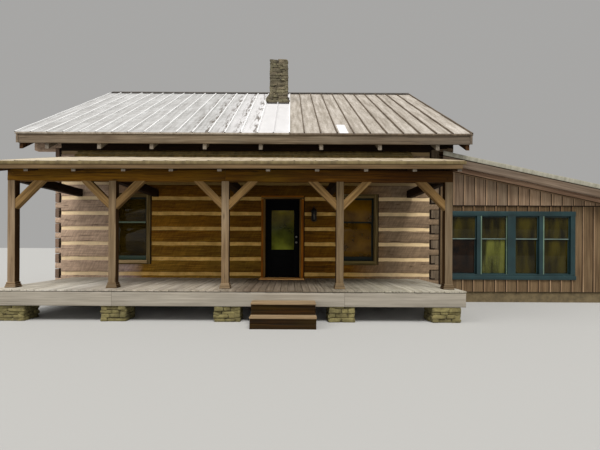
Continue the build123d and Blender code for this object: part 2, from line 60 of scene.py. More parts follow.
# =============================================================================
# mesh builder
# =============================================================================
class Build:
    """Collects many small parts in one mesh, with grain coordinates and a tone for each."""

    def __init__(self):
        self.v, self.gc, self.tone, self.f, self.fm, self.sm = [], [], [], [], [], []
        self.n = 0

    def add(self, v, faces, gc, tone, mats, smooth=True):
        v = np.asarray(v, float).reshape(-1, 3)
        self.v.append(v)
        self.gc.append(np.asarray(gc, float).reshape(-1, 3))
        self.tone.append(np.full(len(v), tone))
        for k, f in enumerate(faces):
            self.f.append([i + self.n for i in f])
            self.fm.append(mats if isinstance(mats, int) else mats[k])
            self.sm.append(smooth if isinstance(smooth, bool) else smooth[k])
        self.n += len(v)

    def make(self, name, materials, slot=None, body=ROOT, replaces=(), shift=True):
        v = np.vstack(self.v)
        if shift:
            v = v + SH
        me = bpy.data.meshes.new(name)
        lens = np.array([len(f) for f in self.f])
        loops = np.fromiter((i for f in self.f for i in f), np.int32, lens.sum())
        me.vertices.add(len(v))
        me.vertices.foreach_set("co", v.astype(np.float32).ravel())
        me.loops.add(len(loops))
        me.loops.foreach_set("vertex_index", loops)
        me.polygons.add(len(lens))
        me.polygons.foreach_set("loop_start", np.concatenate(([0], np.cumsum(lens)[:-1])).astype(np.int32))
        me.polygons.foreach_set("loop_total", lens.astype(np.int32))
        me.polygons.foreach_set("material_index", np.array(self.fm, np.int32))
        me.polygons.foreach_set("use_smooth", np.array(self.sm, bool))
        a = me.attributes.new("gc", "FLOAT_VECTOR", "POINT")
        a.data.foreach_set("vector", np.vstack(self.gc).astype(np.float32).ravel())
        a = me.attributes.new("tone", "FLOAT", "POINT")
        a.data.foreach_set("value", np.concatenate(self.tone).astype(np.float32))
        me.update()
        me.validate()
        ob = bpy.data.objects.new(name, me)
        bpy.context.scene.collection.objects.link(ob)
        for m in materials:
            me.materials.append(m)
        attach(ob, body)
        if replaces:
            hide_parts(*replaces)
        return ob


def wobble(u, a, rng, lam=(0.35, 1.6), n=5):
    """Smooth, seeded waviness along u and round angle a, about -1..1."""
    out = 0.0
    for _ in range(n):
        l = rng.uniform(*lam)
        out = out + rng.uniform(0.5, 1.0) * np.sin(2 * np.pi * u / l + rng.uniform(0, 6.28)
                                                   + a * rng.integers(0, 4) + rng.uniform(0, 6.28))
    return out / (0.55 * n)


def rrect(w, h, r, step):
    """Points and outward normals round a rectangle with rounded corners."""
    r = min(r, 0.45 * w, 0.45 * h)
    pts, nrm = [], []
    cs = ((w / 2 - r, h / 2 - r, 0), (-w / 2 + r, h / 2 - r, 90), (-w / 2 + r, -h / 2 + r, 180), (w / 2 - r, -h / 2 + r, 270))
    for k, (cx, cy, a0) in enumerate(cs):
        for da in (0, 45, 90):
            a = math.radians(a0 + da)
            pts.append((cx + r * math.cos(a), cy + r * math.sin(a)))
            nrm.append((math.cos(a), math.sin(a)))
        nx, ny, _ = cs[(k + 1) % 4]
        ax, ay = pts[-1]
        b = math.radians(a0 + 90)
        bx, by = nx + r * math.cos(b), ny + r * math.sin(b)
        m = int(math.hypot(bx - ax, by - ay) / step)
        for j in range(1, m):
            t = j / m
            pts.append((ax + (bx - ax) * t, ay + (by - ay) * t))
            nrm.append((math.cos(b), math.sin(b)))
    return np.array(pts), np.array(nrm)


def sweep(B, org, d, s, t, L, w, h, rng, r=0.006, step=0.5, ustep=0.6, amp=0.0, lam=(0.35, 1.6),
          cut0=(0, 0), cut1=(0, 0), mat=0, end=None, tone=None, fine=0.0):
    """A timber from org along d, w wide along s and h high along t, with waviness amp and slanted ends."""
    org, d, s, t = (np.asarray(x, float) for x in (org, d, s, t))
    P, N = rrect(w, h, r, step)
    n = len(P)
    m = max(2, int(round(L / ustep)) + 1)
    T = np.linspace(0, 1, m)[:, None]
    u0 = P @ np.array(cut0)
    u1 = L + P @ np.array(cut1)
    U = u0[None, :] + (u1 - u0)[None, :] * T
    ang = np.arctan2(P[:, 1] / h, P[:, 0] / w)[None, :]
    D = amp * wobble(U, ang, rng, lam) if amp else 0.0 * U
    if fine:
        D = D + fine * wobble(U, ang * 3, rng, (0.08, 0.25))
    V = P[None, :, 0] + N[None, :, 0] * D
    W = P[None, :, 1] + N[None, :, 1] * D
    X = org + U[..., None] * d + V[..., None] * s + W[..., None] * t
    off = rng.uniform(0, 50, 3)
    G = np.stack([U, V, W], -1) + off
    faces, mats, sm = [], [], []
    for i in range(m - 1):
        for j in range(n):
            k = (j + 1) % n
            faces.append((i * n + j, i * n + k, (i + 1) * n + k, (i + 1) * n + j))
            mats.append(mat)
            sm.append(True)
    X, G = X.reshape(-1, 3), G.reshape(-1, 3)
    flip = np.dot(np.cross(s, t), d) < 0
    base = len(X)
    capX = np.vstack([X[:n], X[base - n:]])
    # caps repeat their ring so that the edge stays crisp; grain coordinates there are centred on the heart
    capG = np.vstack([np.stack([np.zeros(n), V[0], W[0]], -1), np.stack([np.zeros(n), V[-1], W[-1]], -1)]) + np.array([off[0], 0, 0])
    X, G = np.vstack([X, capX]), np.vstack([G, capG])
    faces.append(tuple(base + i for i in range(n))[::-1])
    faces.append(tuple(base + n + i for i in range(n)))
    e = mat if end is None else end
    mats += [e, e]
    sm += [False, False]
    if flip:
        faces = [tuple(reversed(f)) for f in faces]
    B.add(X, faces, G, rng.uniform(0, 1) if tone is None else tone, mats, sm)


def beam(B, x0, x1, y0, y1, z0, z1, axis, rng, **kw):
    """An axis-aligned timber filling that box."""
    c = ((x0 + x1) / 2, (y0 + y1) / 2, (z0 + z1) / 2)
    if axis == "x":
        sweep(B, (x0, c[1], c[2]), (1, 0, 0), (0, 1, 0), (0, 0, 1), x1 - x0, y1 - y0, z1 - z0, rng, **kw)
    elif axis == "y":
        sweep(B, (c[0], y0, c[2]), (0, 1, 0), (1, 0, 0), (0, 0, 1), y1 - y0, x1 - x0, z1 - z0, rng, **kw)
    else:
        sweep(B, (c[0], c[1], z0), (0, 0, 1), (1, 0, 0), (0, 1, 0), z1 - z0, x1 - x0, y1 - y0, rng, **kw)


def stone(B, c, size, rng, ax=(1, 0, 0), ay=(0, 1, 0), az=(0, 0, 1), rough=0.10, mat=0, square=0.62):
    """One rounded, uneven stone."""
    g = (-1.0, -0.55, 0.55, 1.0)
    idx, V = {}, []
    F = []

    def vid(p):
        if p not in idx:
            idx[p] = len(V)
            V.append(p)
        return idx[p]
    for a in range(3):
        for sgn in (-1.0, 1.0):
            for i in range(3):
                for j in range(3):
                    q = []
                    for (u, w) in ((g[i], g[j]), (g[i + 1], g[j]), (g[i + 1], g[j + 1]), (g[i], g[j + 1])):
                        p = [0.0, 0.0, 0.0]
                        p[a] = sgn
                        p[(a + 1) % 3] = u
                        p[(a + 2) % 3] = w
                        q.append(vid(tuple(p)))
                    F.append(q if sgn > 0 else q[::-1])
    V = np.array(V)
    sph = V / np.linalg.norm(V, axis=1)[:, None]
    P = V * square + sph * (1 - square)
    P = P / np.abs(P).max()
    ph = rng.uniform(0, 6.28, 6)
    bump = (np.sin(V[:, 0] * 2.1 + V[:, 1] * 1.3 + ph[0]) + np.sin(V[:, 1] * 2.7 + V[:, 2] * 1.9 + ph[1])
            + np.sin(V[:, 2] * 2.4 + V[:, 0] * 1.7 + ph[2])) / 3
    P = P * (1 + rough * bump[:, None])
    P[:, 0] += 0.10 * rng.uniform(-1, 1) * V[:, 1] * V[:, 2]
    P[:, 2] += 0.10 * rng.uniform(-1, 1) * V[:, 0]
    M = np.array([ax, ay, az], float)
    X = np.asarray(c, float) + (P * np.asarray(size, float) / 2) @ M
    B.add(X, F, X + rng.uniform(0, 30, 3), rng.uniform(0, 1), mat, True)


def rubble(B, org, ax, out, W, H, rng, rows=(0.07, 0.13), lens=(0.10, 0.30), depth=0.09, proud=0.012, gap=0.008, rough=0.10, mat=0, square=0.62, jitter=0.006):
    """Laid stones over a W by H face. org is its lower corner, ax along it and out is its outward normal."""
    org, ax, out = (np.asarray(q, float) for q in (org, ax, out))
    z = 0.0
    while z < H - 0.02:
        rh = min(rng.uniform(*rows), H - z)
        if H - z - rh < 0.03:
            rh = H - z
        x = 0.0
        while x < W - 0.01:
            ln = rng.uniform(*lens)
            if W - x - ln < lens[0] * 0.7:
                ln = W - x
            pr = rng.uniform(-proud, proud)
            hh = rh - gap + rng.uniform(-jitter, jitter)
            c = org + ax * (x + ln / 2) + np.array([0, 0, z + rh / 2 + rng.uniform(-jitter, jitter) / 2]) + out * (pr - depth / 2)
            stone(B, c, (ln - gap, depth, hh), rng, ax, out, (0, 0, 1), rough, mat, square)
            x += ln
        z += rh


# =============================================================================
# materials
# =============================================================================
def new_mat(name):
    m = bpy.data.materials.new(name)
    m.use_nodes = True
    nt = m.node_tree
    bsdf = next(n for n in nt.nodes if n.type == "BSDF_PRINCIPLED")
    return m, nt, bsdf


def N(nt, kind, **props):
    n = nt.nodes.new(kind)
    for k, v in props.items():
        if k.startswith("in_"):
            key = k[3:]
            n.inputs[int(key) if key.isdigit() else key].default_value = v
        else:
            setattr(n, k, v)
    return n


def link(nt, a, b):
    nt.links.new(a, b)


def ramp(nt, fac, stops, interp="LINEAR"):
    r = N(nt, "ShaderNodeValToRGB")
    r.color_ramp.interpolation = interp
    els = r.color_ramp.elements
    while len(els) < len(stops):
        els.new(0.5)
    for e, (p, c) in zip(els, stops):
        e.position = p
        e.color = (*c, 1) if len(c) == 3 else c
    link(nt, fac, r.inputs[0])
    return r.outputs[0]


def grey(nt, fac, lo, hi, a=0.0, b=1.0):
    m = N(nt, "ShaderNodeMapRange")
    m.inputs[1].default_value = lo
    m.inputs[2].default_value = hi
    m.inputs[3].default_value = a
    m.inputs[4].default_value = b
    link(nt, fac, m.inputs[0])
    return m.outputs[0]


def mix(nt, fac, a, b, mode="MIX"):
    m = N(nt, "ShaderNodeMix", data_type="RGBA", blend_type=mode)
    if isinstance(fac, (int, float)):
        m.inputs[0].default_value = fac
    else:
        link(nt, fac, m.inputs[0])
    for sock, val in ((m.inputs[6], a), (m.inputs[7], b)):
        if isinstance(val, tuple):
            sock.default_value = (*val, 1)
        else:
            link(nt, val, sock)
    return m.outputs[2]


def math_node(nt, op, a, b=None):
    m = N(nt, "ShaderNodeMath", operation=op)
    for k, val in enumerate((a, b)):
        if val is None:
            continue
        if isinstance(val, (int, float)):
            m.inputs[k].default_value = val
        else:
            link(nt, val, m.inputs[k])
    return m.outputs[0]


def coords(nt, kind="gc", scale=(1, 1, 1)):
    if kind == "gc":
        src = N(nt, "ShaderNodeAttribute", attribute_name="gc").outputs["Vector"]
    else:
        src = N(nt, "ShaderNodeTexCoord").outputs["Object"]
    mp = N(nt, "ShaderNodeMapping")
    mp.inputs["Scale"].default_value = scale
    link(nt, src, mp.inputs["Vector"])
    return mp.outputs["Vector"]


def noise(nt, vec, scale, detail=4.0, rough=0.55, dist=0.0):
    n = N(nt, "ShaderNodeTexNoise")
    n.inputs["Scale"].default_value = scale
    n.inputs["Detail"].default_value = detail
    n.inputs["Roughness"].default_value = rough
    n.inputs["Distortion"].default_value = dist
    link(nt, vec, n.inputs["Vector"])
    return n.outputs["Fac"]


def bump(nt, bsdf, height, strength, dist):
    b = N(nt, "ShaderNodeBump")
    b.inputs["Strength"].default_value = strength
    b.inputs["Distance"].default_value = dist
    link(nt, height, b.inputs["Height"])
    link(nt, b.outputs["Normal"], bsdf.inputs["Normal"])


def tone_of(nt):
    return N(nt, "ShaderNodeAttribute", attribute_name="tone").outputs["Fac"]


def wood(name, dark, mid, light, grain=(1.2, 26, 26), rough=0.85, tone=0.35, weather=None, weather_amt=0.5, bump_s=0.5,
         bump_d=0.006, cracks=0.5, source="gc", knots=0.0, outer=None, marks=0.0, along=None, high=None):
    """Sawn or hewn wood with fibres along the piece, stains, checks and a tone for each piece."""
    m, nt, bsdf = new_mat(name)
    bsdf.inputs["Specular IOR Level"].default_value = 0.16
    v = coords(nt, source, grain)
    fib = noise(nt, v, 1.0, 6.0, 0.62, 0.35)
    col = ramp(nt, fib, [(0.30, dark), (0.50, mid), (0.70, light)])
    big = noise(nt, coords(nt, source, (0.9, 3.5, 3.5)), 1.0, 3.0, 0.5, 0.4)
    col = mix(nt, grey(nt, big, 0.35, 0.7, 0.0, 0.55), col, mix(nt, 0.6, col, tuple(c * 0.45 for c in dark)))
    if weather:
        wn = noise(nt, coords(nt, source, (0.6, 2.0, 2.0)), 1.3, 4.0, 0.6, 0.2)
        f = grey(nt, wn, 0.40, 0.66, 0.0, weather_amt)
        col = mix(nt, f, col, mix(nt, fib, tuple(c * 0.72 for c in weather), weather))
    if outer:
        # painted light: lighter and greyer towards both ends of the front, where the open sides let in more light; the
        # side walls, past both ends, take that tone all over
        px = N(nt, "ShaderNodeSeparateXYZ")
        link(nt, N(nt, "ShaderNodeTexCoord").outputs["Object"], px.inputs[0])
        dx = math_node(nt, "ABSOLUTE", math_node(nt, "ADD", px.outputs[0], -outer[0]))
        en = noise(nt, coords(nt, "obj", (1, 1, 1)), 1.6, 3.0)
        f = grey(nt, math_node(nt, "ADD", dx, math_node(nt, "MULTIPLY", en, 0.8)), outer[1] + 0.4, outer[2] + 0.4, 0.0, outer[3])
        oc = mix(nt, grey(nt, px.outputs[0], outer[0] - 0.5, outer[0] + 0.5), outer[4], outer[5])
        col = mix(nt, f, col, mix(nt, 1.0, oc, ramp(nt, fib, [(0.25, (0.62, 0.62, 0.62)), (0.75, (1.1, 1.1, 1.1))]), "MULTIPLY"))
    if marks:
        # short slanting strokes of the broadaxe
        mp = N(nt, "ShaderNodeMapping", vector_type="TEXTURE")
        mp.inputs["Rotation"].default_value = (0.0, math.radians(28), 0.0)
        mp.inputs["Scale"].default_value = (1 / 26, 1 / 5, 1 / 5)
        link(nt, coords(nt, source), mp.inputs["Vector"])
        mk = noise(nt, mp.outputs["Vector"], 1.0, 3.0, 0.6, 0.3)
        col = mix(nt, 1.0, col, ramp(nt, mk, [(0.32, (1 - marks,) * 3), (0.5, (1.0,) * 3), (0.68, (1 + marks,) * 3)]), "MULTIPLY")
        fib = math_node(nt, "ADD", fib, math_node(nt, "MULTIPLY", mk, 0.7))
    if along:
        # painted light and shade along the front: (x, factor) stops over the whole length
        px = N(nt, "ShaderNodeSeparateXYZ")
        link(nt, N(nt, "ShaderNodeTexCoord").outputs["Object"], px.inputs[0])
        lo, hi = along[0][0], along[-1][0]
        f = grey(nt, px.outputs[0], lo + SH[0], hi + SH[0])
        col = mix(nt, 1.0, col, ramp(nt, f, [((a - lo) / (hi - lo), c) for a, c in along]), "MULTIPLY")
    if high:
        # painted shade: the wood is darker towards the top, up under the middle of the porch roof
        pu = N(nt, "ShaderNodeSeparateXYZ")
        link(nt, N(nt, "ShaderNodeTexCoord").outputs["Object"], pu.inputs[0])
        inner = math_node(nt, "MULTIPLY", grey(nt, pu.outputs[0], 2.6 + SH[0], 3.3 + SH[0], 1.0, 0.0), grey(nt, pu.outputs[0], -3.6 + SH[0], -2.8 + SH[0]))
        hf = math_node(nt, "MULTIPLY", grey(nt, pu.outputs[2], high[0], high[1], 0.0, high[2]), inner)
        col = mix(nt, hf, col, tuple(c * 0.2 for c in dark))
        # and painted light, as bounced up from the deck: paler and greyer low on the wall, left of the door
        lf = math_node(nt, "MULTIPLY", grey(nt, pu.outputs[2], 1.25, 1.95, 1.0, 0.0), math_node(nt, "MULTIPLY", inner, grey(nt, pu.outputs[0], 0.4 + SH[0], 0.9 + SH[0], 1.0, 0.0)))
        col = mix(nt, lf, col, mix(nt, 1.0, col, high[3], "MULTIPLY"))
    if cracks:
        cv = noise(nt, coords(nt, source, (0.9, 48, 48)), 1.0, 3.0, 0.5, 0.15)
        cf = grey(nt, cv, 0.62, 0.70, 0.0, cracks)
        col = mix(nt, cf, col, tuple(c * 0.30 for c in dark))
        h = math_node(nt, "SUBTRACT", fib, math_node(nt, "MULTIPLY", cf, 0.8))
    else:
        h = fib
    if knots:
        vo = N(nt, "ShaderNodeTexVoronoi", feature="F1")
        vo.inputs["Scale"].default_value = 1.0
        link(nt, coords(nt, source, (1.7, 7, 7)), vo.inputs["Vector"])
        kf = grey(nt, vo.outputs["Distance"], 0.06, 0.16, knots, 0.0)
        col = mix(nt, kf, col, tuple(c * 0.35 for c in dark))
    tv = tone_of(nt)
    hs = N(nt, "ShaderNodeHueSaturation")
    link(nt, grey(nt, tv, 0, 1, 1 - tone, 1 + tone), hs.inputs["Value"])
    link(nt, col, hs.inputs["Color"])
    link(nt, hs.outputs[0], bsdf.inputs["Base Color"])
    rg = grey(nt, fib, 0.2, 0.8, rough - 0.08, min(1.0, rough + 0.08))
    link(nt, rg, bsdf.inputs["Roughness"])
    bump(nt, bsdf, h, bump_s, bump_d)
    return m


def end_grain(name, dark, light, rough=0.9):
    """Sawn ends: rings round the heart and radial checks."""
    m, nt, bsdf = new_mat(name)
    g = N(nt, "ShaderNodeAttribute", attribute_name="gc").outputs["Vector"]
    sp = N(nt, "ShaderNodeSeparateXYZ")
    link(nt, g, sp.inputs[0])
    nz = noise(nt, coords(nt, "gc", (1, 1, 1)), 9.0, 3.0)
    r2 = math_node(nt, "ADD", math_node(nt, "MULTIPLY", sp.outputs[1], sp.outputs[1]),
                   math_node(nt, "MULTIPLY", sp.outputs[2], sp.outputs[2]))
    r = math_node(nt, "ADD", math_node(nt, "SQRT", r2), math_node(nt, "MULTIPLY", nz, 0.03))
    rings = math_node(nt, "SINE", math_node(nt, "MULTIPLY", r, 520.0))
    an = math_node(nt, "ARCTAN2", sp.outputs[1], sp.outputs[2])
    cx = N(nt, "ShaderNodeCombineXYZ")
    link(nt, math_node(nt, "MULTIPLY", an, 2.2), cx.inputs[0])
    link(nt, math_node(nt, "MULTIPLY", r, 4.0), cx.inputs[1])
    rad = noise(nt, cx.outputs[0], 3.0, 2.0)
    col = mix(nt, grey(nt, rings, -1, 1, 0.15, 0.85), dark, light)
    cf = grey(nt, rad, 0.60, 0.68, 0.0, 0.8)
    col = mix(nt, cf, col, tuple(c * 0.3 for c in dark))
    hs = N(nt, "ShaderNodeHueSaturation")
    link(nt, grey(nt, tone_of(nt), 0, 1, 0.7, 1.2), hs.inputs["Value"])
    link(nt, col, hs.inputs["Color"])
    link(nt, hs.outputs[0], bsdf.inputs["Base Color"])
    bsdf.inputs["Roughness"].default_value = rough
    bump(nt, bsdf, math_node(nt, "SUBTRACT", math_node(nt, "MULTIPLY", rings, 0.1), cf), 0.6, 0.004)
    return m


def mineral(name, cols, scale=9.0, rough=0.9, tone=0.35, bump_s=0.6, bump_d=0.006, moss=None, moss_amt=0.0, hue=0.0, ends=None):
    m, nt, bsdf = new_mat(name)
    v = coords(nt, "obj")
    a = noise(nt, v, scale, 6.0, 0.65)
    b = noise(nt, coords(nt, "gc"), scale * 0.35, 3.0)
    col = ramp(nt, a, [(0.30, cols[0]), (0.50, cols[1]), (0.70, cols[2])])
    col = mix(nt, grey(nt, b, 0.4, 0.65, 0, 0.5), col, tuple(c * 0.6 for c in cols[1]))
    if moss:
        mn = noise(nt, v, 5.0, 5.0, 0.7)
        col = mix(nt, grey(nt, mn, 0.48, 0.62, 0, moss_amt), col, moss)
    if ends:
        # painted light: lighter towards both ends of the front, where the open sides let in more light
        px = N(nt, "ShaderNodeSeparateXYZ")
        link(nt, v, px.inputs[0])
        dx = math_node(nt, "ABSOLUTE", math_node(nt, "ADD", px.outputs[0], -ends[0]))
        ec = mix(nt, grey(nt, px.outputs[0], ends[0] - 0.5, ends[0] + 0.5), ends[3], ends[4])
        ec = mix(nt, 1.0, ec, ramp(nt, a, [(0.3, (0.82, 0.82, 0.82)), (0.7, (1.05, 1.05, 1.05))]), "MULTIPLY")
        col = mix(nt, grey(nt, dx, ends[1], ends[2]), col, ec)
        # painted shade: darker above about z 2.9, a quarter as much at the left end, and fully above z 3.8 under the
        # eave
        hi = math_node(nt, "MULTIPLY", grey(nt, px.outputs[2], 2.86, 2.98), grey(nt, px.outputs[0], ends[0] - 4.0, ends[0] - 2.6, 0.25, 1.0))
        hi = math_node(nt, "MAXIMUM", hi, grey(nt, px.outputs[2], 3.70, 3.80))
        col = mix(nt, math_node(nt, "MULTIPLY", hi, 0.72), col, tuple(c * 0.25 for c in cols[0]))
    hs = N(nt, "ShaderNodeHueSaturation")
    link(nt, grey(nt, tone_of(nt), 0, 1, 1 - tone, 1 + tone), hs.inputs["Value"])
    if hue:
        link(nt, grey(nt, noise(nt, coords(nt, "gc"), 0.7, 1.0), 0.3, 0.7, 0.5 - hue, 0.5 + hue), hs.inputs["Hue"])
    link(nt, col, hs.inputs["Color"])
    link(nt, hs.outputs[0], bsdf.inputs["Base Color"])
    link(nt, grey(nt, a, 0.2, 0.8, rough - 0.1, min(1.0, rough + 0.08)), bsdf.inputs["Roughness"])
    bump(nt, bsdf, a, bump_s, bump_d)
    return m


def painted(name, col, chip, rough=0.45, wear=0.25, metallic=0.0, source="obj", spec=0.35):
    m, nt, bsdf = new_mat(name)
    bsdf.inputs["Specular IOR Level"].default_value = spec
    v = coords(nt, source, (1, 1, 1))
    a = noise(nt, v, 14.0, 5.0, 0.65)
    b = noise(nt, v, 2.2, 3.0, 0.5)
    c = mix(nt, grey(nt, b, 0.35, 0.7), col, tuple(x * 0.62 for x in col))
    c = mix(nt, grey(nt, a, 0.60, 0.72, 0.0, wear), c, chip)
    link(nt, c, bsdf.inputs["Base Color"])
    link(nt, grey(nt, a, 0.2, 0.8, rough - 0.1, rough + 0.15), bsdf.inputs["Roughness"])
    bsdf.inputs["Metallic"].default_value = metallic
    bump(nt, bsdf, a, 0.15, 0.002)
    return m


def glass(name, col, alpha, rough=0.03, spec=0.25, reflection_bands=None, streak=(1, 1, 1)):
    m, nt, bsdf = new_mat(name)
    bsdf.inputs["Specular IOR Level"].default_value = spec
    v = coords(nt, "obj")
    # painted reflection: soft blotches, or upright streaks when streak stretches the noise along z, between a lighter
    # and a darker tint
    a = noise(nt, coords(nt, "obj", streak), 2.2 if streak[0] == 1 else 1.0, 3.0, 0.5)
    c = mix(nt, grey(nt, a, 0.35, 0.65), tuple(min(1.0, x * 1.4) for x in col), tuple(x * (0.45 if streak[0] == 1 else 0.22) for x in col))
    if reflection_bands:
        # painted reflection: darker in the middle of the height, lighter and greener low, warmer at the top
        pz_ = N(nt, "ShaderNodeSeparateXYZ")
        link(nt, v, pz_.inputs[0])
        c = mix(nt, 1.0, c, ramp(nt, grey(nt, pz_.outputs[2], reflection_bands[0], reflection_bands[1]), reflection_bands[2]), "MULTIPLY")
    link(nt, c, bsdf.inputs["Base Color"])
    bsdf.inputs["Roughness"].default_value = rough
    bsdf.inputs["Alpha"].default_value = alpha
    bsdf.inputs["IOR"].default_value = 1.5
    bump(nt, bsdf, noise(nt, v, 1.3, 1.0), 0.05, 0.01)
    return m


def srgb(r, g, b):
    return tuple(((c / 255) / 12.92 if c / 255 <= 0.04045 else ((c / 255 + 0.055) / 1.055) ** 2.4) for c in (r, g, b))


CX = SH[0]
# LEFT_END and RIGHT_END are the lighter tones of the painted light at the front's ends and on the side walls
LEFT_END, RIGHT_END = srgb(188, 164, 144), srgb(136, 117, 96)
# log_mat also paints shade in the middle of the front round the door (along), and up under the porch roof with bounce
# light low by the deck (high)
log_mat = wood("hewn_log", srgb(80, 49, 7), srgb(124, 79, 17), srgb(159, 111, 27), grain=(1.6, 30, 30), rough=0.9, tone=0.08,
               weather=srgb(154, 112, 32), weather_amt=0.40, bump_s=0.7, bump_d=0.009, cracks=0.75, knots=0.5,
               outer=(CX, 2.7, 3.7, 0.90, LEFT_END, RIGHT_END), marks=0.22, high=(1.9, 3.0, 0.26, (1.16, 1.42, 2.3)),
               along=((-5.0, (1.0, 1.0, 1.0)), (-1.4, (1.0, 1.0, 1.0)), (-0.2, (0.64, 0.63, 0.58)), (2.0, (0.67, 0.67, 0.62)), (3.2, (1.0, 1.0, 1.0)), (5.0, (1.0, 1.0, 1.0))))
# the back has no porch over it, so its logs are weathered all along
BACK_TONE = srgb(162, 141, 121)
log_back = wood("hewn_log_back", srgb(80, 49, 7), srgb(124, 79, 17), srgb(159, 111, 27), grain=(1.6, 30, 30), rough=0.9, tone=0.08,
                weather=srgb(154, 112, 32), weather_amt=0.40, bump_s=0.7, bump_d=0.009, cracks=0.75, knots=0.5,
                outer=(CX, -3.0, -2.0, 0.90, BACK_TONE, BACK_TONE), marks=0.22)
log_end = end_grain("log_end", srgb(92, 72, 60), srgb(143, 117, 97))
log_end_right = wood("log_end_right", srgb(72, 60, 46), srgb(104, 90, 74), srgb(132, 116, 96), grain=(1.0, 34, 2.0), tone=0.08, cracks=0.3)
# the chinking is painted lighter towards both ends of the front and painted darker high up under the porch roof and the
# eave
chink_mat = mineral("chinking", (srgb(186, 145, 71), srgb(217, 174, 95), srgb(235, 196, 115)), 7.0, 0.92, 0.08, 0.5, 0.006,
                    ends=(CX, 2.7, 3.6, srgb(238, 213, 173), srgb(228, 201, 156)))
chink_back = mineral("chinking_back", (srgb(186, 145, 71), srgb(217, 174, 95), srgb(235, 196, 115)), 7.0, 0.92, 0.08, 0.5, 0.006,
                     ends=(CX, -3.0, -2.0, srgb(233, 207, 165), srgb(233, 207, 165)))
# painted shade: a near-black copy of the log wood for the top course, under the eave
plate_shade_mat = wood("plate_log_shaded", srgb(18, 10, 4), srgb(29, 17, 8), srgb(42, 28, 14), grain=(1.6, 30, 30), tone=0.10, cracks=0.5)
# post_mat's along stops paint light and shade post by post: lighter on the first and third posts, darker on the second
# and fourth, darkest on the fifth
post_mat = wood("post_wood", srgb(88, 70, 50), srgb(124, 103, 77), srgb(151, 130, 101), grain=(1.2, 28, 28), tone=0.10,
                weather=srgb(139, 122, 100), weather_amt=0.6, cracks=0.6, bump_s=0.5, knots=0.6,
                along=((-4.6, (1.12, 1.12, 1.15)), (-3.5, (1.12, 1.12, 1.15)), (-3.3, (0.79, 0.79, 0.77)), (-1.4, (0.79, 0.79, 0.77)), (-1.2, (1.12, 1.12, 1.10)),
                       (0.9, (1.12, 1.12, 1.10)), (1.1, (0.82, 0.82, 0.76)), (3.1, (0.82, 0.82, 0.76)), (3.3, (0.68, 0.69, 0.68)), (4.6, (0.68, 0.69, 0.68))))
brace_mat = wood("brace_wood", srgb(90, 67, 38), srgb(127, 99, 60), srgb(156, 127, 82), grain=(1.2, 28, 28), tone=0.10, cracks=0.5)
# painted shade: a darker copy of the post wood for the posts' sides in shade
post_side_shade = wood("post_side_wood", srgb(37, 22, 5), srgb(54, 34, 10), srgb(69, 46, 16), grain=(1.2, 28, 28), tone=0.10, cracks=0.5)
post_end = end_grain("post_end", srgb(120, 98, 74), srgb(166, 144, 114))
# beam_mat's along stops paint light and shade: lighter at the left end, darker and browner towards the right
beam_mat = wood("beam_wood", srgb(58, 35, 7), srgb(94, 62, 18), srgb(123, 87, 32), grain=(1.2, 22, 22), tone=0.12,
                weather=srgb(109, 83, 35), weather_amt=0.4, cracks=0.6, bump_s=0.6, knots=0.6,
                along=((-4.5, (1.55, 1.55, 0.70)), (-1.9, (1.42, 1.30, 0.43)), (-1.0, (1.25, 1.18, 0.32)), (-0.1, (1.05, 1.0, 0.30)), (0.85, (0.97, 0.98, 0.36)),
                       (1.8, (0.87, 0.76, 0.40)), (2.7, (0.72, 0.56, 0.24)), (3.65, (0.43, 0.34, 0.16)), (4.5, (0.42, 0.33, 0.16))))
tie_mat = wood("tie_wood", srgb(22, 11, 3), srgb(36, 21, 7), srgb(53, 34, 13), grain=(1.2, 22, 22), tone=0.10, cracks=0.4, bump_s=0.6)
rafter_mat = wood("rafter_wood", srgb(43, 24, 8), srgb(65, 42, 18), srgb(92, 61, 31), tone=0.15, cracks=0.4)
tail_mat = wood("rafter_tail", srgb(96, 87, 77), srgb(124, 115, 103), srgb(146, 138, 126), tone=0.08, cracks=0.3)
# fascia_mat's along stops paint light: lighter at the left end, darker at the right
fascia_mat = wood("fascia_wood", srgb(76, 64, 51), srgb(107, 94, 77), srgb(132, 119, 100), grain=(0.9, 26, 26), tone=0.08,
                  weather=srgb(126, 116, 100), weather_amt=0.5, cracks=0.5,
                  along=((-5.7, (1.12, 1.08, 1.08)), (0.0, (0.92, 0.92, 0.90)), (5.7, (0.80, 0.79, 0.84))))
porch_board = wood("porch_fascia_wood", srgb(78, 60, 39), srgb(110, 89, 62), srgb(134, 110, 79), grain=(0.8, 30, 30), tone=0.05,
                   weather=srgb(125, 103, 73), weather_amt=0.5, cracks=0.4)
# deck_mat's along stops paint light and shade: lighter at both open ends, darkest in the middle by the door, under the
# porch roof
deck_mat = wood("deck_wood", srgb(121, 111, 99), srgb(157, 149, 135), srgb(188, 178, 166), grain=(1.1, 32, 32), tone=0.13,
                weather=srgb(182, 174, 164), weather_amt=0.6, cracks=0.5,
                along=((-4.6, (1.55, 1.6, 1.6)), (-3.3, (1.24, 1.30, 1.36)), (-2.6, (0.98, 0.98, 0.98)), (-1.6, (0.98, 0.97, 0.94)), (-0.4, (0.90, 0.88, 0.84)), (0.0, (0.72, 0.67, 0.61)),
                       (0.35, (0.38, 0.32, 0.27)), (1.5, (0.42, 0.38, 0.33)), (2.2, (0.64, 0.63, 0.58)), (2.9, (0.84, 0.86, 0.80)), (3.5, (1.08, 1.12, 1.08)), (4.5, (1.12, 1.16, 1.12))))
rim_mat = wood("rim_wood", srgb(131, 124, 112), srgb(152, 145, 132), srgb(168, 160, 148), grain=(0.8, 30, 30), tone=0.04,
               weather=srgb(161, 155, 143), weather_amt=0.6, cracks=0.25)
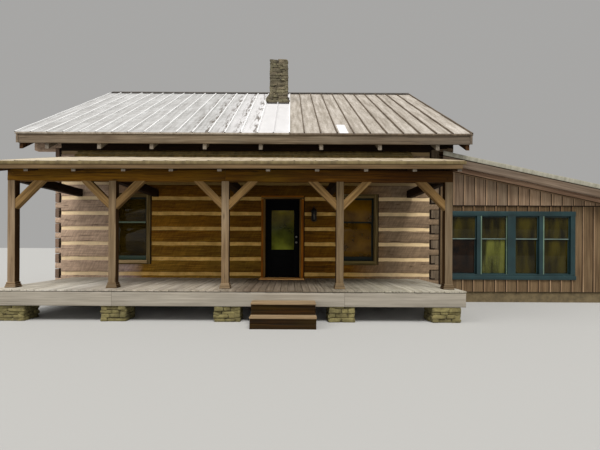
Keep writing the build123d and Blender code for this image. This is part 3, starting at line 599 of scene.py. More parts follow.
tread_mat = wood("tread_wood", srgb(106, 85, 60), srgb(141, 119, 89), srgb(168, 145, 114), tone=0.08, weather=srgb(155, 138, 110), weather_amt=0.5)
riser_mat = wood("riser_wood", srgb(20, 10, 0), srgb(38, 21, 1), srgb(56, 33, 2), grain=(1.2, 18, 18), tone=0.12, weather=srgb(49, 38, 2), weather_amt=0.6)
siding_mat = wood("siding_wood", srgb(73, 56, 38), srgb(101, 81, 58), srgb(126, 104, 77), grain=(1.0, 30, 30), tone=0.07,
                  weather=srgb(115, 99, 74), weather_amt=0.45, cracks=0.4, bump_s=0.4)
frieze_mat = wood("frieze_wood", srgb(124, 96, 75), srgb(167, 134, 110), srgb(203, 170, 142), grain=(1.0, 30, 30), tone=0.05, cracks=0.3, bump_s=0.4)
# siding_up_mat's along stops paint shade near the cabin and light further out, from x 7.4
siding_up_mat = wood("siding_upper_wood", srgb(88, 70, 54), srgb(121, 100, 81), srgb(150, 128, 106), grain=(1.0, 30, 30), tone=0.07,
                  along=((5.0, (0.86, 0.87, 0.88)), (6.6, (0.90, 0.91, 0.92)), (7.4, (1.22, 1.22, 1.20)), (10.3, (1.25, 1.25, 1.20))),
                  weather=srgb(138, 122, 102), weather_amt=0.45, cracks=0.4, bump_s=0.4)
# painted shade: darker copies of the siding and battens for the strip above the window, under the drip of the upper
# lift
siding_dim = wood("siding_under_drip", srgb(66, 51, 36), srgb(91, 72, 50), srgb(114, 95, 67), grain=(1.0, 30, 30), tone=0.07, cracks=0.4, bump_s=0.4)
batten_dim = wood("batten_under_drip", srgb(84, 64, 42), srgb(108, 84, 60), srgb(126, 102, 76), grain=(1.0, 30, 30), tone=0.06, cracks=0.3, bump_s=0.4)
batten_line = wood("batten_wood", srgb(102, 81, 58), srgb(132, 108, 83), srgb(156, 132, 103), grain=(1.0, 30, 30), tone=0.06, cracks=0.3, bump_s=0.4)
batten_up = wood("batten_upper_wood", srgb(120, 97, 75), srgb(150, 125, 100), srgb(174, 149, 121), grain=(1.0, 30, 30), tone=0.06, cracks=0.3, bump_s=0.4)
shade_mat = wood("shadow_line_wood", srgb(20, 13, 8), srgb(32, 22, 14), srgb(46, 34, 24), tone=0.05, cracks=0.0)
trim_mat = wood("door_trim", srgb(106, 59, 9), srgb(155, 91, 19), srgb(200, 126, 32), tone=0.10)
jamb_mat = wood("jamb_edge", srgb(92, 68, 31), srgb(118, 89, 44), srgb(137, 105, 55), tone=0.05, cracks=0.2)
casing_mat = wood("window_casing", srgb(69, 56, 29), srgb(104, 87, 51), srgb(137, 118, 80), tone=0.08)
rake_mat = wood("wing_rake_wood", srgb(79, 64, 51), srgb(107, 91, 76), srgb(131, 115, 100), grain=(0.8, 28, 28), tone=0.06,
                weather=srgb(123, 110, 97), weather_amt=0.5, cracks=0.4)
sill_mat = wood("window_sill", srgb(141, 116, 81), srgb(173, 147, 107), srgb(197, 172, 133), tone=0.05, cracks=0.3)
sill_dim = wood("window_sill_shaded", srgb(74, 61, 30), srgb(102, 89, 51), srgb(130, 114, 70), tone=0.05, cracks=0.3)
thresh_mat = wood("threshold_wood", srgb(205, 138, 74), srgb(255, 187, 112), srgb(255, 231, 158), tone=0.04, cracks=0.2)
floor_mat = wood("floor_wood", srgb(84, 60, 38), srgb(122, 92, 60), srgb(150, 118, 82), tone=0.1, source="obj")
chim_mat = mineral("chimney_stone", (srgb(63, 57, 42), srgb(96, 89, 68), srgb(124, 118, 95)), 9.0, 0.92, 0.32, 0.8, 0.010, hue=0.015)
pier_mat = mineral("pier_stone", (srgb(74, 67, 39), srgb(111, 102, 63), srgb(139, 131, 87)), 9.0, 0.92, 0.22, 0.8, 0.008,
                   moss=srgb(87, 84, 43), moss_amt=0.25)
found_mat = mineral("field_stone", (srgb(74, 70, 60), srgb(112, 106, 92), srgb(144, 138, 124)), 9.0, 0.92, 0.35, 0.8, 0.010)
mortar_mat = mineral("mortar", (srgb(52, 46, 38), srgb(74, 66, 54), srgb(92, 84, 70)), 14.0, 0.95, 0.05, 0.6, 0.006)
concrete_mat = mineral("concrete", (srgb(76, 66, 43), srgb(101, 87, 60), srgb(120, 106, 77)), 8.0, 0.92, 0.05, 0.4, 0.004)
teal_mat = painted("teal_paint", srgb(26, 52, 55), srgb(58, 80, 73), 0.42, 0.30)
# painted light: a lit copy of the dark sash paint below, for the bottom rails of the windows that are not dim
sash_lit = painted("sash_paint_lit", srgb(27, 61, 43), srgb(63, 90, 61), 0.42, 0.30)
sash_dark = painted("sash_dark_paint", srgb(14, 26, 20), srgb(34, 44, 30), 0.5, 0.2, spec=0.2)
sash_edge = painted("sash_edge", srgb(101, 123, 105), srgb(129, 141, 124), 0.45, 0.3)
rail_mat = painted("meeting_rail_paint", srgb(108, 127, 122), srgb(135, 147, 139), 0.45, 0.3)
black_mat = painted("black_paint", srgb(5, 5, 6), srgb(13, 13, 15), 0.55, 0.2, spec=0.05)
iron_mat = painted("lantern_black", srgb(14, 13, 13), srgb(36, 34, 31), 0.5, 0.3)
brass_mat = painted("dark_metal", srgb(150, 146, 138), srgb(180, 176, 164), 0.35, 0.5, metallic=1.0)
win_glass = glass("window_glass", srgb(56, 44, 10), 0.86, spec=0.12)
# painted light: a lighter copy of the window glass for the windows in shade
win_glass_right_lit = glass("window_glass_right_lit", srgb(111, 78, 14), 0.86, spec=0.12)
wing_glass_mat = glass("wing_window_glass", srgb(49, 43, 6), 0.84, streak=(5.0, 5.0, 1.1))
# painted reflection: dark and green copies of the wing glass for two lower panes
wing_glass_dark_reflection = glass("wing_window_glass_dark_reflection", srgb(28, 15, 4), 0.88, streak=(4.0, 4.0, 4.0))
wing_glass_green_reflection = glass("wing_window_glass_green_reflection", srgb(79, 81, 34), 0.88, streak=(7.0, 7.0, 1.0))
door_glass = glass("door_glass", srgb(119, 117, 39), 0.90, spec=0.05, reflection_bands=(1.36, 2.41, [(0.0, (1.1, 1.3, 1.2)), (0.3, (0.62, 0.74, 0.6)), (0.55, (0.27, 0.31, 0.36)), (0.75, (0.6, 0.5, 0.3)), (1.0, (0.95, 0.78, 0.45))]))
lamp_glass = glass("lamp_glass", srgb(150, 146, 132), 0.9, 0.3)
lamp_pane = glass("lamp_pane", srgb(16, 15, 13), 0.45, 0.05, spec=0.15)


def roof_metal(name, cols, spots=0.5, dark=srgb(70, 60, 48), rough=0.5, ripple=0.0, painted_highlight=None, smear=None, patch=None, spot_scale=22.0, spot_at=0.58):
    """Weathered sheet. white=(x0, x1, colour) is a painted highlight that whitens it towards x1; smear=(x0, x1) soils
    the right of each pan there; patch=(x0, x1, y1, colour).
    """
    m, nt, bsdf = new_mat(name)
    ob = coords(nt, "obj")
    px = N(nt, "ShaderNodeSeparateXYZ")
    link(nt, ob, px.inputs[0])
    long_ = noise(nt, coords(nt, "gc", (6.0, 0.55, 1)), 1.6, 4.0, 0.6)
    fine = noise(nt, ob, spot_scale, 5.0, 0.7)
    blot = noise(nt, ob, 3.2, 5.0, 0.62)
    rip = noise(nt, coords(nt, "gc", (1.2, 16.0, 1)), 1.0, 4.0, 0.6, 0.6)
    col = ramp(nt, long_, [(0.3, cols[0]), (0.5, cols[1]), (0.72, cols[2])])
    col = mix(nt, grey(nt, blot, 0.50, 0.68, 0, 0.45), col, cols[0])
    if ripple:
        col = mix(nt, grey(nt, rip, 0.42, 0.62, 0, ripple), col, tuple(c * 0.62 for c in cols[0]))
    # painted highlight: the sheet whitens towards x1, with a ragged edge
    if painted_highlight:
        edge = noise(nt, coords(nt, "gc", (2.0, 0.7, 1)), 1.4, 5.0, 0.65)
        w = math_node(nt, "ADD", px.outputs[0], math_node(nt, "MULTIPLY", math_node(nt, "SUBTRACT", edge, 0.5), 1.6))
        col = mix(nt, grey(nt, w, painted_highlight[0], painted_highlight[1], 0.0, 1.0), col, painted_highlight[2])
    col = mix(nt, grey(nt, fine, spot_at, spot_at + 0.10, 0, spots), col, dark)
    if smear:
        gx = N(nt, "ShaderNodeSeparateXYZ")
        link(nt, coords(nt, "gc"), gx.inputs[0])
        side = math_node(nt, "MODULO", gx.outputs[0], 3.0)
        sm = noise(nt, coords(nt, "gc", (9.0, 1.1, 1)), 1.9, 5.0, 0.7)
        f = math_node(nt, "MULTIPLY", grey(nt, side, 0.12, 0.30), grey(nt, sm, 0.50, 0.55))
        f = math_node(nt, "MULTIPLY", f, math_node(nt, "MULTIPLY", grey(nt, px.outputs[0], smear[0], smear[0] + 0.3), grey(nt, px.outputs[0], smear[1] - 0.3, smear[1], 1.0, 0.0)))
        col = mix(nt, math_node(nt, "MULTIPLY", f, 0.9), col, srgb(84, 74, 64))
    if patch:
        f = math_node(nt, "MULTIPLY", math_node(nt, "GREATER_THAN", px.outputs[0], patch[0]), math_node(nt, "LESS_THAN", px.outputs[0], patch[1]))
        f = math_node(nt, "MULTIPLY", f, math_node(nt, "LESS_THAN", math_node(nt, "ADD", px.outputs[1], math_node(nt, "MULTIPLY", fine, 0.1)), patch[2]))
        col = mix(nt, f, col, patch[3])
    link(nt, col, bsdf.inputs["Base Color"])
    hs = grey(nt, blot, 0.3, 0.7, rough - 0.1, rough + 0.15)
    link(nt, hs, bsdf.inputs["Roughness"])
    bsdf.inputs["Metallic"].default_value = 0.15
    bump(nt, bsdf, math_node(nt, "ADD", math_node(nt, "MULTIPLY", long_, 0.6), math_node(nt, "ADD", math_node(nt, "MULTIPLY", fine, 0.15), math_node(nt, "MULTIPLY", rip, 0.5 * ripple))), 0.3, 0.006)
    return m


SPLIT = 1.105
# painted reflection: the west sheet whitens from x -1.1 to 0.1 and stays white up to the split by the chimney
HIGHLIGHT_WHITE = srgb(208, 207, 208)
metal_west = roof_metal("roof_metal_west", (srgb(154, 153, 151), srgb(181, 181, 180), srgb(201, 202, 202)), spots=0.30, dark=srgb(113, 108, 101), ripple=0.38,
                        painted_highlight=(-1.1 + CX, 0.1 + CX, HIGHLIGHT_WHITE), smear=(-1.6 + CX, 0.5 + CX), spot_scale=9.0, spot_at=0.64)
metal_east = roof_metal("roof_metal_east", (srgb(134, 125, 112), srgb(172, 164, 153), srgb(200, 193, 184)), spots=0.75, dark=srgb(96, 84, 73),
                        patch=(2.36 + CX, 2.58 + CX, 0.28 + SH[1], srgb(226, 227, 230)), spot_scale=25.0, spot_at=0.545)
metal_back = roof_metal("roof_metal_back", (srgb(140, 132, 118), srgb(170, 163, 150), srgb(194, 188, 176)), spots=0.5, dark=srgb(104, 92, 78))
# painted highlight and shadow on the standing seams: white on the west ones, dark brown on the east and back ones
seam_highlight = roof_metal("seam_metal_highlight", (srgb(224, 224, 224), srgb(240, 240, 240), srgb(248, 248, 248)), spots=0.10)
seam_shade_and_rust = roof_metal("seam_metal_shade_and_rust", (srgb(70, 58, 44), srgb(92, 78, 62), srgb(116, 102, 84)), spots=0.4)
eave_strip = roof_metal("eave_strip_metal", (srgb(112, 102, 88), srgb(136, 126, 112), srgb(158, 150, 138)), spots=0.3)
# painted light: the porch sheet whitens towards its left end
porch_metal = roof_metal("porch_metal", (srgb(156, 139, 111), srgb(182, 167, 139), srgb(198, 186, 167)), spots=0.15, dark=srgb(122, 103, 78), painted_highlight=(0.5 + CX, -4.3 + CX, srgb(214, 202, 179)))
apron_metal = roof_metal("apron_metal", (srgb(102, 85, 46), srgb(133, 113, 66), srgb(163, 138, 83)), spots=0.2, dark=srgb(83, 63, 35))
apron_edge = roof_metal("apron_edge_metal", (srgb(120, 114, 84), srgb(142, 136, 104), srgb(160, 152, 120)), spots=0.1)
wing_metal = roof_metal("wing_metal", (srgb(127, 125, 110), srgb(152, 149, 134), srgb(171, 168, 155)), spots=0.25, dark=srgb(106, 99, 82))
ridge_metal = roof_metal("ridge_metal", (srgb(44, 40, 36), srgb(62, 56, 50), srgb(84, 78, 70)), spots=0.3)
trim_metal = roof_metal("eave_metal", (srgb(81, 67, 35), srgb(103, 88, 51), srgb(120, 105, 66)), spots=0.12)

# =============================================================================
# log walls
# =============================================================================
HALF, DEPTH, LT, PITCH, LH, SILL = 5.045, 9.34, 0.20, 0.3973, 0.3033, 0.3647
TONGUE, BUCK, DECK_Z = 0.0725, 0.10, 0.61
IN, INR = HALF - 0.152, 4.798         # shoulders of the front logs, a little off the side logs' ends
WINDOWS = ((-3.50, -2.64, 1.07, 2.73), (2.475, 3.336, 1.07, 2.73))
LEFT_WINDOWS = ((2.10, 2.96, 1.07, 2.73), (6.38, 7.24, 1.07, 2.73))
RIGHT_WINDOWS = ((7.30, 8.16, 1.07, 2.73),)
DOOR_R = (0.431, 1.443)
INNER_R = (1.44, 2.56, 0.61, 2.7145)


def course(k):
    return SILL + PITCH * k, SILL + PITCH * k + LH


def cut(a, b, holes):
    """The stretches of a..b that the holes leave."""
    out = [(a, b)]
    for h0, h1 in holes:
        nxt = []
        for p, q in out:
            if h1 <= p or h0 >= q:
                nxt.append((p, q))
                continue
            if h0 > p:
                nxt.append((p, h0))
            if h1 < q:
                nxt.append((h1, q))
        out = nxt
    return [(p, q) for p, q in out if q - p > 0.03]


def holes_at(z0, z1, wins, extra=()):
    out = []
    for a0, a1, w0, w1 in wins:
        if min(z1, w1 + BUCK) - max(z0, w0 - BUCK) > 0.14 * 1.0 or (z1 - z0 < 0.12 and min(z1, w1 + BUCK) - max(z0, w0 - BUCK) > 0.03):
            out.append((a0 - BUCK, a1 + BUCK))
    for a0, a1, w0, w1 in extra:
        if min(z1, w1) - max(z0, w0) > 0.03:
            out.append((a0, a1))
    return out


def hewn(B, x0, x1, y0, y1, z0, z1, axis, rng, amp=0.0055, **kw):
    beam(B, x0, x1, y0, y1, z0, z1, axis, rng, r=0.016, step=0.06, ustep=0.14, amp=amp, fine=0.0016, end=1, **kw)


rng = np.random.default_rng(11)
door_hole = (DOOR_R[0], DOOR_R[1], 0.60, 2.7485)
for side, (y0, y1, extra, name, reps) in enumerate((
        (0.0, LT, (door_hole,), "logs_front", ("front_sill_log", "front_logs_left", "front_logs_right", "front_logs_over_door")),
        (DEPTH - LT, DEPTH, (), "logs_back", ("back_logs",)))):
    B = Build()
    for k in range(10):
        z0, z1 = course(k)
        zc = (z0 + z1) / 2
        for a, b in cut(-IN, INR, holes_at(z0, z1, WINDOWS, extra)):
            # the top course takes the near-black plate wood: painted shade under the eave
            hewn(B, a, b, y0, y1, z0, z1, "x", rng, mat=2 if k == 9 else 0)
        if k < 9:
            for s in (-1, 1):
                a, b = sorted((s * ((INR if s > 0 else IN) - 0.02), s * HALF))
                hewn(B, a, b, y0 + 0.002, y1 - 0.002, zc - TONGUE, zc + TONGUE, "x", rng, amp=0.002)
        else:
            zn = zc - TONGUE
            for s, e in ((-1, 5.60), (1, 5.42)):
                a, b = sorted((s * ((INR if s > 0 else IN) - 0.02), s * e))
                # at the right this end of the top course takes the plate wood too: painted shade
                hewn(B, a, b, y0 + 0.002, y1 - 0.002, zn, z1, "x", rng, amp=0.003, mat=0 if s < 0 else 2)
                a, b = sorted((s * (HALF + 0.004), s * e))
                hewn(B, a, b, y0 + 0.004, y1 - 0.004, z0 + 0.01, zn + 0.05, "x", rng, amp=0.003)
    if extra:
        beam(B, DOOR_R[0], DOOR_R[1], y0, y1, SILL, 0.60, "x", rng, r=0.01)
    B.make(name, [log_mat if extra else log_back, log_end, plate_shade_mat], "hewn_log", replaces=reps)

for s, wins, extra, name in ((-1, LEFT_WINDOWS, (), "logs_left"), (1, RIGHT_WINDOWS, (INNER_R,), "logs_right")):
    B = Build()
    x0, x1 = sorted((s * (HALF - LT), s * HALF))
    ex0, ex1 = sorted((s * (HALF - (0.197 if s > 0 else 0.090)), s * HALF))
    for k in range(-1, 9):
        zc = SILL + LH / 2 + PITCH * (k + 0.5)
        z0, z1 = zc - LH / 2, zc + LH / 2
        for a, b in cut(LT + 0.01, DEPTH - LT - 0.01, holes_at(z0, z1, wins, extra)):
            hewn(B, x0, x1, a, b, z0, z1, "y", rng)
        h = PITCH / 2 - TONGUE - 0.008
        for a, b in ((0.0, LT + 0.03), (DEPTH - LT - 0.03, DEPTH)):
            hewn(B, ex0, ex1, a, b, zc - h + (0.030 if s > 0 else 0.0), zc + h - 0.004, "y", rng, amp=0.002)
            # painted shade: dark strips set in the open joint beside the block, and at the right one under it
            g0, g1 = sorted((s * (HALF - (0.247 if s > 0 else 0.154)), s * (HALF - (0.196 if s > 0 else 0.089))))
            q = 0.030 if a < 1 else -0.030
            beam(B, g0, g1, min(a, b) + max(q, 0) + (0.0 if a < 1 else 0.03), max(a, b) + min(q, 0) - (0.03 if a < 1 else 0.0), zc - h - 0.005, zc + h + 0.005, "z", rng, r=0.002, mat=2)
            if s > 0:
                ya, yb = (0.004, 0.05) if a < 1 else (DEPTH - 0.05, DEPTH - 0.004)
                beam(B, ex0 - 0.02, ex0 + 0.100, ya, yb, zc - h - 0.004, zc - h + 0.028, "x", rng, r=0.001, mat=2)
                beam(B, ex0 + 0.101, ex1 - 0.003, ya - 0.002, yb, zc - h - 0.004, zc - h + 0.031, "x", rng, r=0.001, mat=1)
    B.make(name, [log_mat, log_end if s < 0 else log_end_right, shade_mat], "hewn_log", replaces=("left_logs" if s < 0 else "right_logs",))

# chinking: slightly uneven trowelled strips, tucked behind the logs' edges
B = Build()
CI = 0.016


def chink_strip(a, b, z0, z1, axis, c0, c1, mat=0):
    z0, z1 = z0 - 0.02, z1 + 0.02
    if axis == "x":
        beam(B, a, b, c0, c1, z0, z1, "x", rng, r=0.004, step=0.03, ustep=0.09, amp=0.0035, lam=(0.12, 0.7), mat=mat)
    else:
        beam(B, c0, c1, a, b, z0, z1, "y", rng, r=0.004, step=0.03, ustep=0.09, amp=0.0035, lam=(0.12, 0.7))


for k in range(9):
    z0, z1 = course(k)[1], course(k + 1)[0]
    for a, b in cut(-IN, INR + 0.004, holes_at(z0, z1, WINDOWS, (door_hole,))):
        chink_strip(a, b, z0, z1, "x", CI, LT - CI)
    for a, b in cut(-IN, INR + 0.004, holes_at(z0, z1, WINDOWS)):
        chink_strip(a, b, z0, z1, "x", DEPTH - LT + CI, DEPTH - CI, 1)
    z0, z1 = z0 - PITCH / 2, z1 - PITCH / 2
    for a, b in cut(LT + 0.02, DEPTH - LT - 0.02, holes_at(z0, z1, LEFT_WINDOWS)):
        chink_strip(a, b, z0, z1, "y", -HALF + CI, -HALF + LT - CI)
    for a, b in cut(LT + 0.02, DEPTH - LT - 0.02, holes_at(z0, z1, RIGHT_WINDOWS, (INNER_R,))):
        chink_strip(a, b, z0, z1, "y", HALF - LT + CI, HALF - CI)
B.make("chinking_strips", [chink_mat, chink_back], "chinking", replaces=("chinking",))

# =============================================================================
# stone: foundation, piers, chimney
# =============================================================================
B = Build()
side_base = SILL + LH / 2 - PITCH / 2 - LH / 2


def laid_box(B, x0, x1, y0, y1, z0, z1, rng, sides="xXyY", core=1, inset=0.035, **kw):
    """A block of laid stone: a mortar core and a skin of stones on the named sides."""
    beam(B, x0 + inset, x1 - inset, y0 + inset, y1 - inset, z0, z1 - 0.004, "z", rng, r=0.004, mat=core)
    H = z1 - z0
    if "y" in sides:
        rubble(B, (x0, y0, z0), (1, 0, 0), (0, -1, 0), x1 - x0, H, rng, **kw)
    if "Y" in sides:
        rubble(B, (x1, y1, z0), (-1, 0, 0), (0, 1, 0), x1 - x0, H, rng, **kw)
    if "x" in sides:
        rubble(B, (x0, y1, z0), (0, -1, 0), (-1, 0, 0), y1 - y0, H, rng, **kw)
    if "X" in sides:
        rubble(B, (x1, y0, z0), (0, 1, 0), (1, 0, 0), y1 - y0, H, rng, **kw)


fkw = dict(rows=(0.08, 0.13), lens=(0.18, 0.45), depth=0.12, proud=0.008, gap=0.012)
laid_box(B, -HALF, -HALF + 0.25, 0, DEPTH, 0, side_base, rng, "x", **fkw)
laid_box(B, HALF - 0.25, HALF, 0, DEPTH, 0, side_base, rng, "X", **fkw)
laid_box(B, -HALF + 0.25, HALF - 0.25, 0, 0.30, 0, SILL - 0.004, rng, "y", **fkw)
laid_box(B, -HALF + 0.25, HALF - 0.25, DEPTH - 0.30, DEPTH, 0, SILL - 0.004, rng, "Y", **fkw)
for x0 in (-HALF, HALF - 0.25):
    for y0, q in ((0, "y"), (DEPTH - 0.25, "Y")):
        laid_box(B, x0, x0 + 0.25, y0, y0 + 0.25, 0, side_base, rng, q, **fkw)
B.make("foundation_stones", [found_mat, mortar_mat], "field_stone", replaces=("cabin_foundation",))

B = Build()
PIERS = ((-4.46, -3.96), (-2.49, -2.01), (-0.318, 0.177), (1.882, 2.379), (3.861, 4.409))
for a, b in PIERS:
    laid_box(B, a, b, -2.76, -2.30, 0, 0.299, rng, rows=(0.050, 0.095), lens=(0.12, 0.34), depth=0.11, proud=0.016, gap=0.006, inset=0.03, square=0.75)
B.make("pier_stones", [pier_mat, mortar_mat], "pier_stone", replaces=("deck_piers",))

B = Build()
cx0, cx1, cy0, cy1, ct = 0.46, 1.035, 2.97, 3.575, 7.81
# core of four walls round the flue
for (a, b, c, d) in ((cx0 + 0.03, cx1 - 0.03, cy0 + 0.03, cy0 + 0.15), (cx0 + 0.03, cx1 - 0.03, cy1 - 0.15, cy1 - 0.03),
                     (cx0 + 0.03, cx0 + 0.15, cy0 + 0.15, cy1 - 0.15), (cx1 - 0.15, cx1 - 0.03, cy0 + 0.15, cy1 - 0.15)):
    beam(B, a, b, c, d, 0, ct - 0.015, "z", rng, r=0.002, ustep=2.0, mat=1)
ckw = dict(rows=(0.045, 0.115), lens=(0.13, 0.42), depth=0.11, proud=0.014, gap=0.006, jitter=0.016, rough=0.18, square=0.76)
for z0, z1, kw in ((0.0, 5.6, dict(ckw, rows=(0.07, 0.13), lens=(0.12, 0.30))), (5.6, ct, ckw)):
    kx0 = cx0 - 0.03
    for org, ax, out, W in (((kx0, cy0, z0), (1, 0, 0), (0, -1, 0), cx1 - kx0), ((cx1, cy1, z0), (-1, 0, 0), (0, 1, 0), cx1 - kx0),
                            ((kx0, cy1, z0), (0, -1, 0), (-1, 0, 0), cy1 - cy0), ((cx1, cy0, z0), (0, 1, 0), (1, 0, 0), cy1 - cy0)):
        rubble(B, org, ax, out, W, z1 - z0, rng, **kw)
# stones stepped out over the sheet at the roof line
EY, EZ, RY, RZ = -0.60, 4.242, 4.67, 7.323
SL = (RZ - EZ) / (RY - EY)


def roof_z(y):
    return EZ + SL * (min(y, 2 * RY - y) - EY)


for i in range(9):
    y = cy0 + 0.02 + (cy1 - cy0 - 0.02) * i / 8
    for j, w in enumerate((0.20, 0.17, 0.13)):
        stone(B, (cx0 + 0.04 - w / 2 + 0.02 * j, y, roof_z(y) + 0.05 + 0.075 * j), (w, 0.12, 0.085), rng, rough=0.16, square=0.7)
for i in range(6):
    x = cx0 - 0.02 + (cx1 - cx0 + 0.03) * i / 5
    stone(B, (x, cy0 + 0.005, roof_z(cy0) + 0.04), (0.13, 0.10, 0.09), rng, rough=0.16, square=0.7)
B.make("chimney_stones", [chim_mat, mortar_mat], "chimney_stone", replaces=("chimney",))
# sheet flashing round the foot of the stack
B = Build()
sl = np.array([0, 1, SL]) / math.hypot(1, SL)
nr = np.array([0, -SL, 1]) / math.hypot(1, SL)
for x0, x1, ya, yb in ((cx0 - 0.12, cx1 + 0.05, cy0 - 0.15, cy0 - 0.03), (cx0 - 0.13, cx0 - 0.02, cy0 - 0.02, cy1 + 0.10),
                       (cx1 + 0.01, cx1 + 0.06, cy0 - 0.10, cy1 + 0.10), (cx0 - 0.10, cx1 + 0.06, cy1 + 0.01, cy1 + 0.16)):
    L = (yb - ya) * math.hypot(1, SL)
    org = np.array([(x0 + x1) / 2, ya, roof_z(ya)]) + nr * 0.024
    sweep(B, org, sl, (1, 0, 0), nr, L, x1 - x0, 0.008, rng, r=0.002)
B.make("chimney_flashing", [ridge_metal], "ridge_metal")


# =============================================================================
# ribbed sheet roofs
# =============================================================================
def sheet_roof(B, ends, seams, place, along, n_along, rng, seam_top=1.0, seam_h=0.022, seam_w=0.030, minor=0.0, t=0.026, wave=0.0018, seam_mats=None, pan_mats=None):
    """Pans with raised seams. place(x, s) gives the point of the flat top and its normal, s from 0 to along."""
    x0, x1 = ends
    hw_ = seam_w / 2
    prof, of_seam, pan = [(x0, 0.0)], [False], [0]
    bounds_ = sorted(set([x0] + list(seams) + [x1]))
    for i, xe in enumerate(bounds_):
        if xe in seams:
            lo, hi = max(x0, xe - hw_), min(x1, xe + hw_)
            for k, q in enumerate(((lo, 0.0), (lo + 0.003, seam_h), (hi - 0.003, seam_h), (hi, 0.0))):
                prof.append(q)
                of_seam.append(k > 0)
                pan.append(i if k > 1 else i - 1)
        if minor and i < len(bounds_) - 1 and bounds_[i + 1] - xe > 0.2:
            p = bounds_[i + 1] - xe
            for q in (1 / 3, 2 / 3):
                c = xe + p * q
                for q2 in ((c - 0.016, 0.0), (c - 0.006, minor), (c + 0.006, minor), (c + 0.016, 0.0)):
                    prof.append(q2)
                    of_seam.append(False)
                    pan.append(i)
    prof.append((x1, 0.0))
    of_seam.append(False)
    pan.append(len(bounds_))
    prof = np.array(prof)
    n = len(prof)
    offs = rng.uniform(0, 20, len(bounds_) + 3)
    V, G, F, M = [], [], [], []
    ss = np.linspace(0, along, n_along)
    for s in ss:
        for (x, h), p in zip(prof, pan):
            q, nrm = place(x, s)
            dz = h * (seam_top if s == ss[-1] else 1.0) + wave * math.sin(s * 3.1 + x * 2.3 + offs[p]) + wave * math.sin(s * 7.3 - x * 5.1)
            V.append(q + nrm * dz)
            xl = bounds_[min(max(p, 0), len(bounds_) - 1)]
            G.append((x - xl + 3.0 * (p + 1), s, offs[p]))
    for i in range(n_along - 1):
        for j in range(n - 1):
            F.append((i * n + j, i * n + j + 1, (i + 1) * n + j + 1, (i + 1) * n + j))
            xm = (prof[j][0] + prof[j + 1][0]) / 2
            if of_seam[j + 1]:
                M.append(seam_mats(xm) if seam_mats else 0)
            else:
                M.append(pan_mats(xm) if pan_mats else 0)
    B.add(V, F, G, 0.5, M, False)
    # flat underside and edges
    corners = [place(x, s) for s in (0, along) for x in (x0, x1)]
    lowc = [q - nrm * t for q, nrm in corners]
    topc = [q for q, _ in corners]
    vv = lowc + topc
    fs = [(1, 0, 2, 3), (0, 1, 5, 4), (3, 2, 6, 7), (2, 0, 4, 6), (1, 3, 7, 5)]
    B.add(vv, fs, [(p[0], p[1], 0) for p in vv], 0.5, 1, False)


RX0, RX1 = -5.70, 5.655
west_seams = [RX0 + 0.4003 * i for i in range(18)]
east_seams = [1.475 + 0.409 * i for i in range(10)] + [RX1 - 0.016]
seams = [RX0 + 0.016] + west_seams[1:] + east_seams
LR = (RY - EY) * math.hypot(1, SL)


def place_front(x, s):
    return np.array([x, EY, EZ]) + sl * s, nr


slb = np.array([0, -1, SL]) / math.hypot(1, SL)
nrb = np.array([0, SL, 1]) / math.hypot(1, SL)


def place_back(x, s):
    return np.array([x, 2 * RY - EY, EZ]) + slb * s, nrb


batten_mat = rafter_mat
B = Build()
sheet_roof(B, (RX0, RX1), seams, place_front, LR, 30, rng, seam_top=0.2, seam_h=0.036, seam_mats=lambda x: 3 if x < 0.6 else (0 if x < 0.8 else (3 if x < SPLIT + 0.02 else 4)), pan_mats=lambda x: 0 if x < SPLIT else 2)
B.make("roof_sheet_front", [metal_west, batten_mat, metal_east, seam_highlight, seam_shade_and_rust], "roof_metal", replaces=("main_roof_front",))
B = Build()
sheet_roof(B, (RX0, RX1), seams, place_back, LR, 26, rng, seam_top=0.2, seam_h=0.036, seam_mats=lambda x: 2)
for f in B.f:
    f.reverse()
B.make("roof_sheet_back", [metal_back, batten_mat, seam_shade_and_rust], "roof_metal", replaces=("main_roof_back",))
# thin folded edge along the eave: pale at the left, rusty at the right
B = Build()
for my in (0, 1):
    y0, y1 = (EY - 0.004, EY + 0.010) if not my else (2 * RY - EY - 0.010, 2 * RY - EY + 0.004)
    beam(B, RX0, SPLIT, y0, y1, EZ - 0.028, EZ + 0.018, "x", rng, r=0.002, ustep=0.5, amp=0.001, mat=0)
    beam(B, SPLIT + 0.001, RX1, y0, y1, EZ - 0.028, EZ + 0.018, "x", rng, r=0.002, ustep=0.5, amp=0.001, mat=1)
B.make("eave_edge_strip", [eave_strip, seam_shade_and_rust], "roof_metal")
B = Build()
for sgn in (-1, 1):
    y = RY + sgn * 0.17
    d = np.array([0, -sgn * 0.17, 0.17 * SL])
    L = np.linalg.norm(d)
    sweep(B, (0, 0, 0), (1, 0, 0), d / L, np.cross((1, 0, 0), d / L), RX1 - RX0, L, 0.010, rng, r=0.002, ustep=0.4, amp=0.0015)
    # move that strip to its place
    off = np.array([RX0, y, roof_z(y) + 0.034]) + d / 2
    B.v[-1] = B.v[-1] + off
beam(B, RX0, RX1, RY - 0.02, RY + 0.02, RZ + 0.008, RZ + 0.040, "x", rng, r=0.012, ustep=0.4, amp=0.0015)
B.make("ridge_cap_sheet", [ridge_metal], "ridge_metal", replaces=("ridge_cap",))

# =============================================================================
# main roof timber
# =============================================================================
RAFTERS = (-4.935, -3.636, -2.331, -1.005, 0.390, 1.901, 3.362, 4.801)
B = Build()


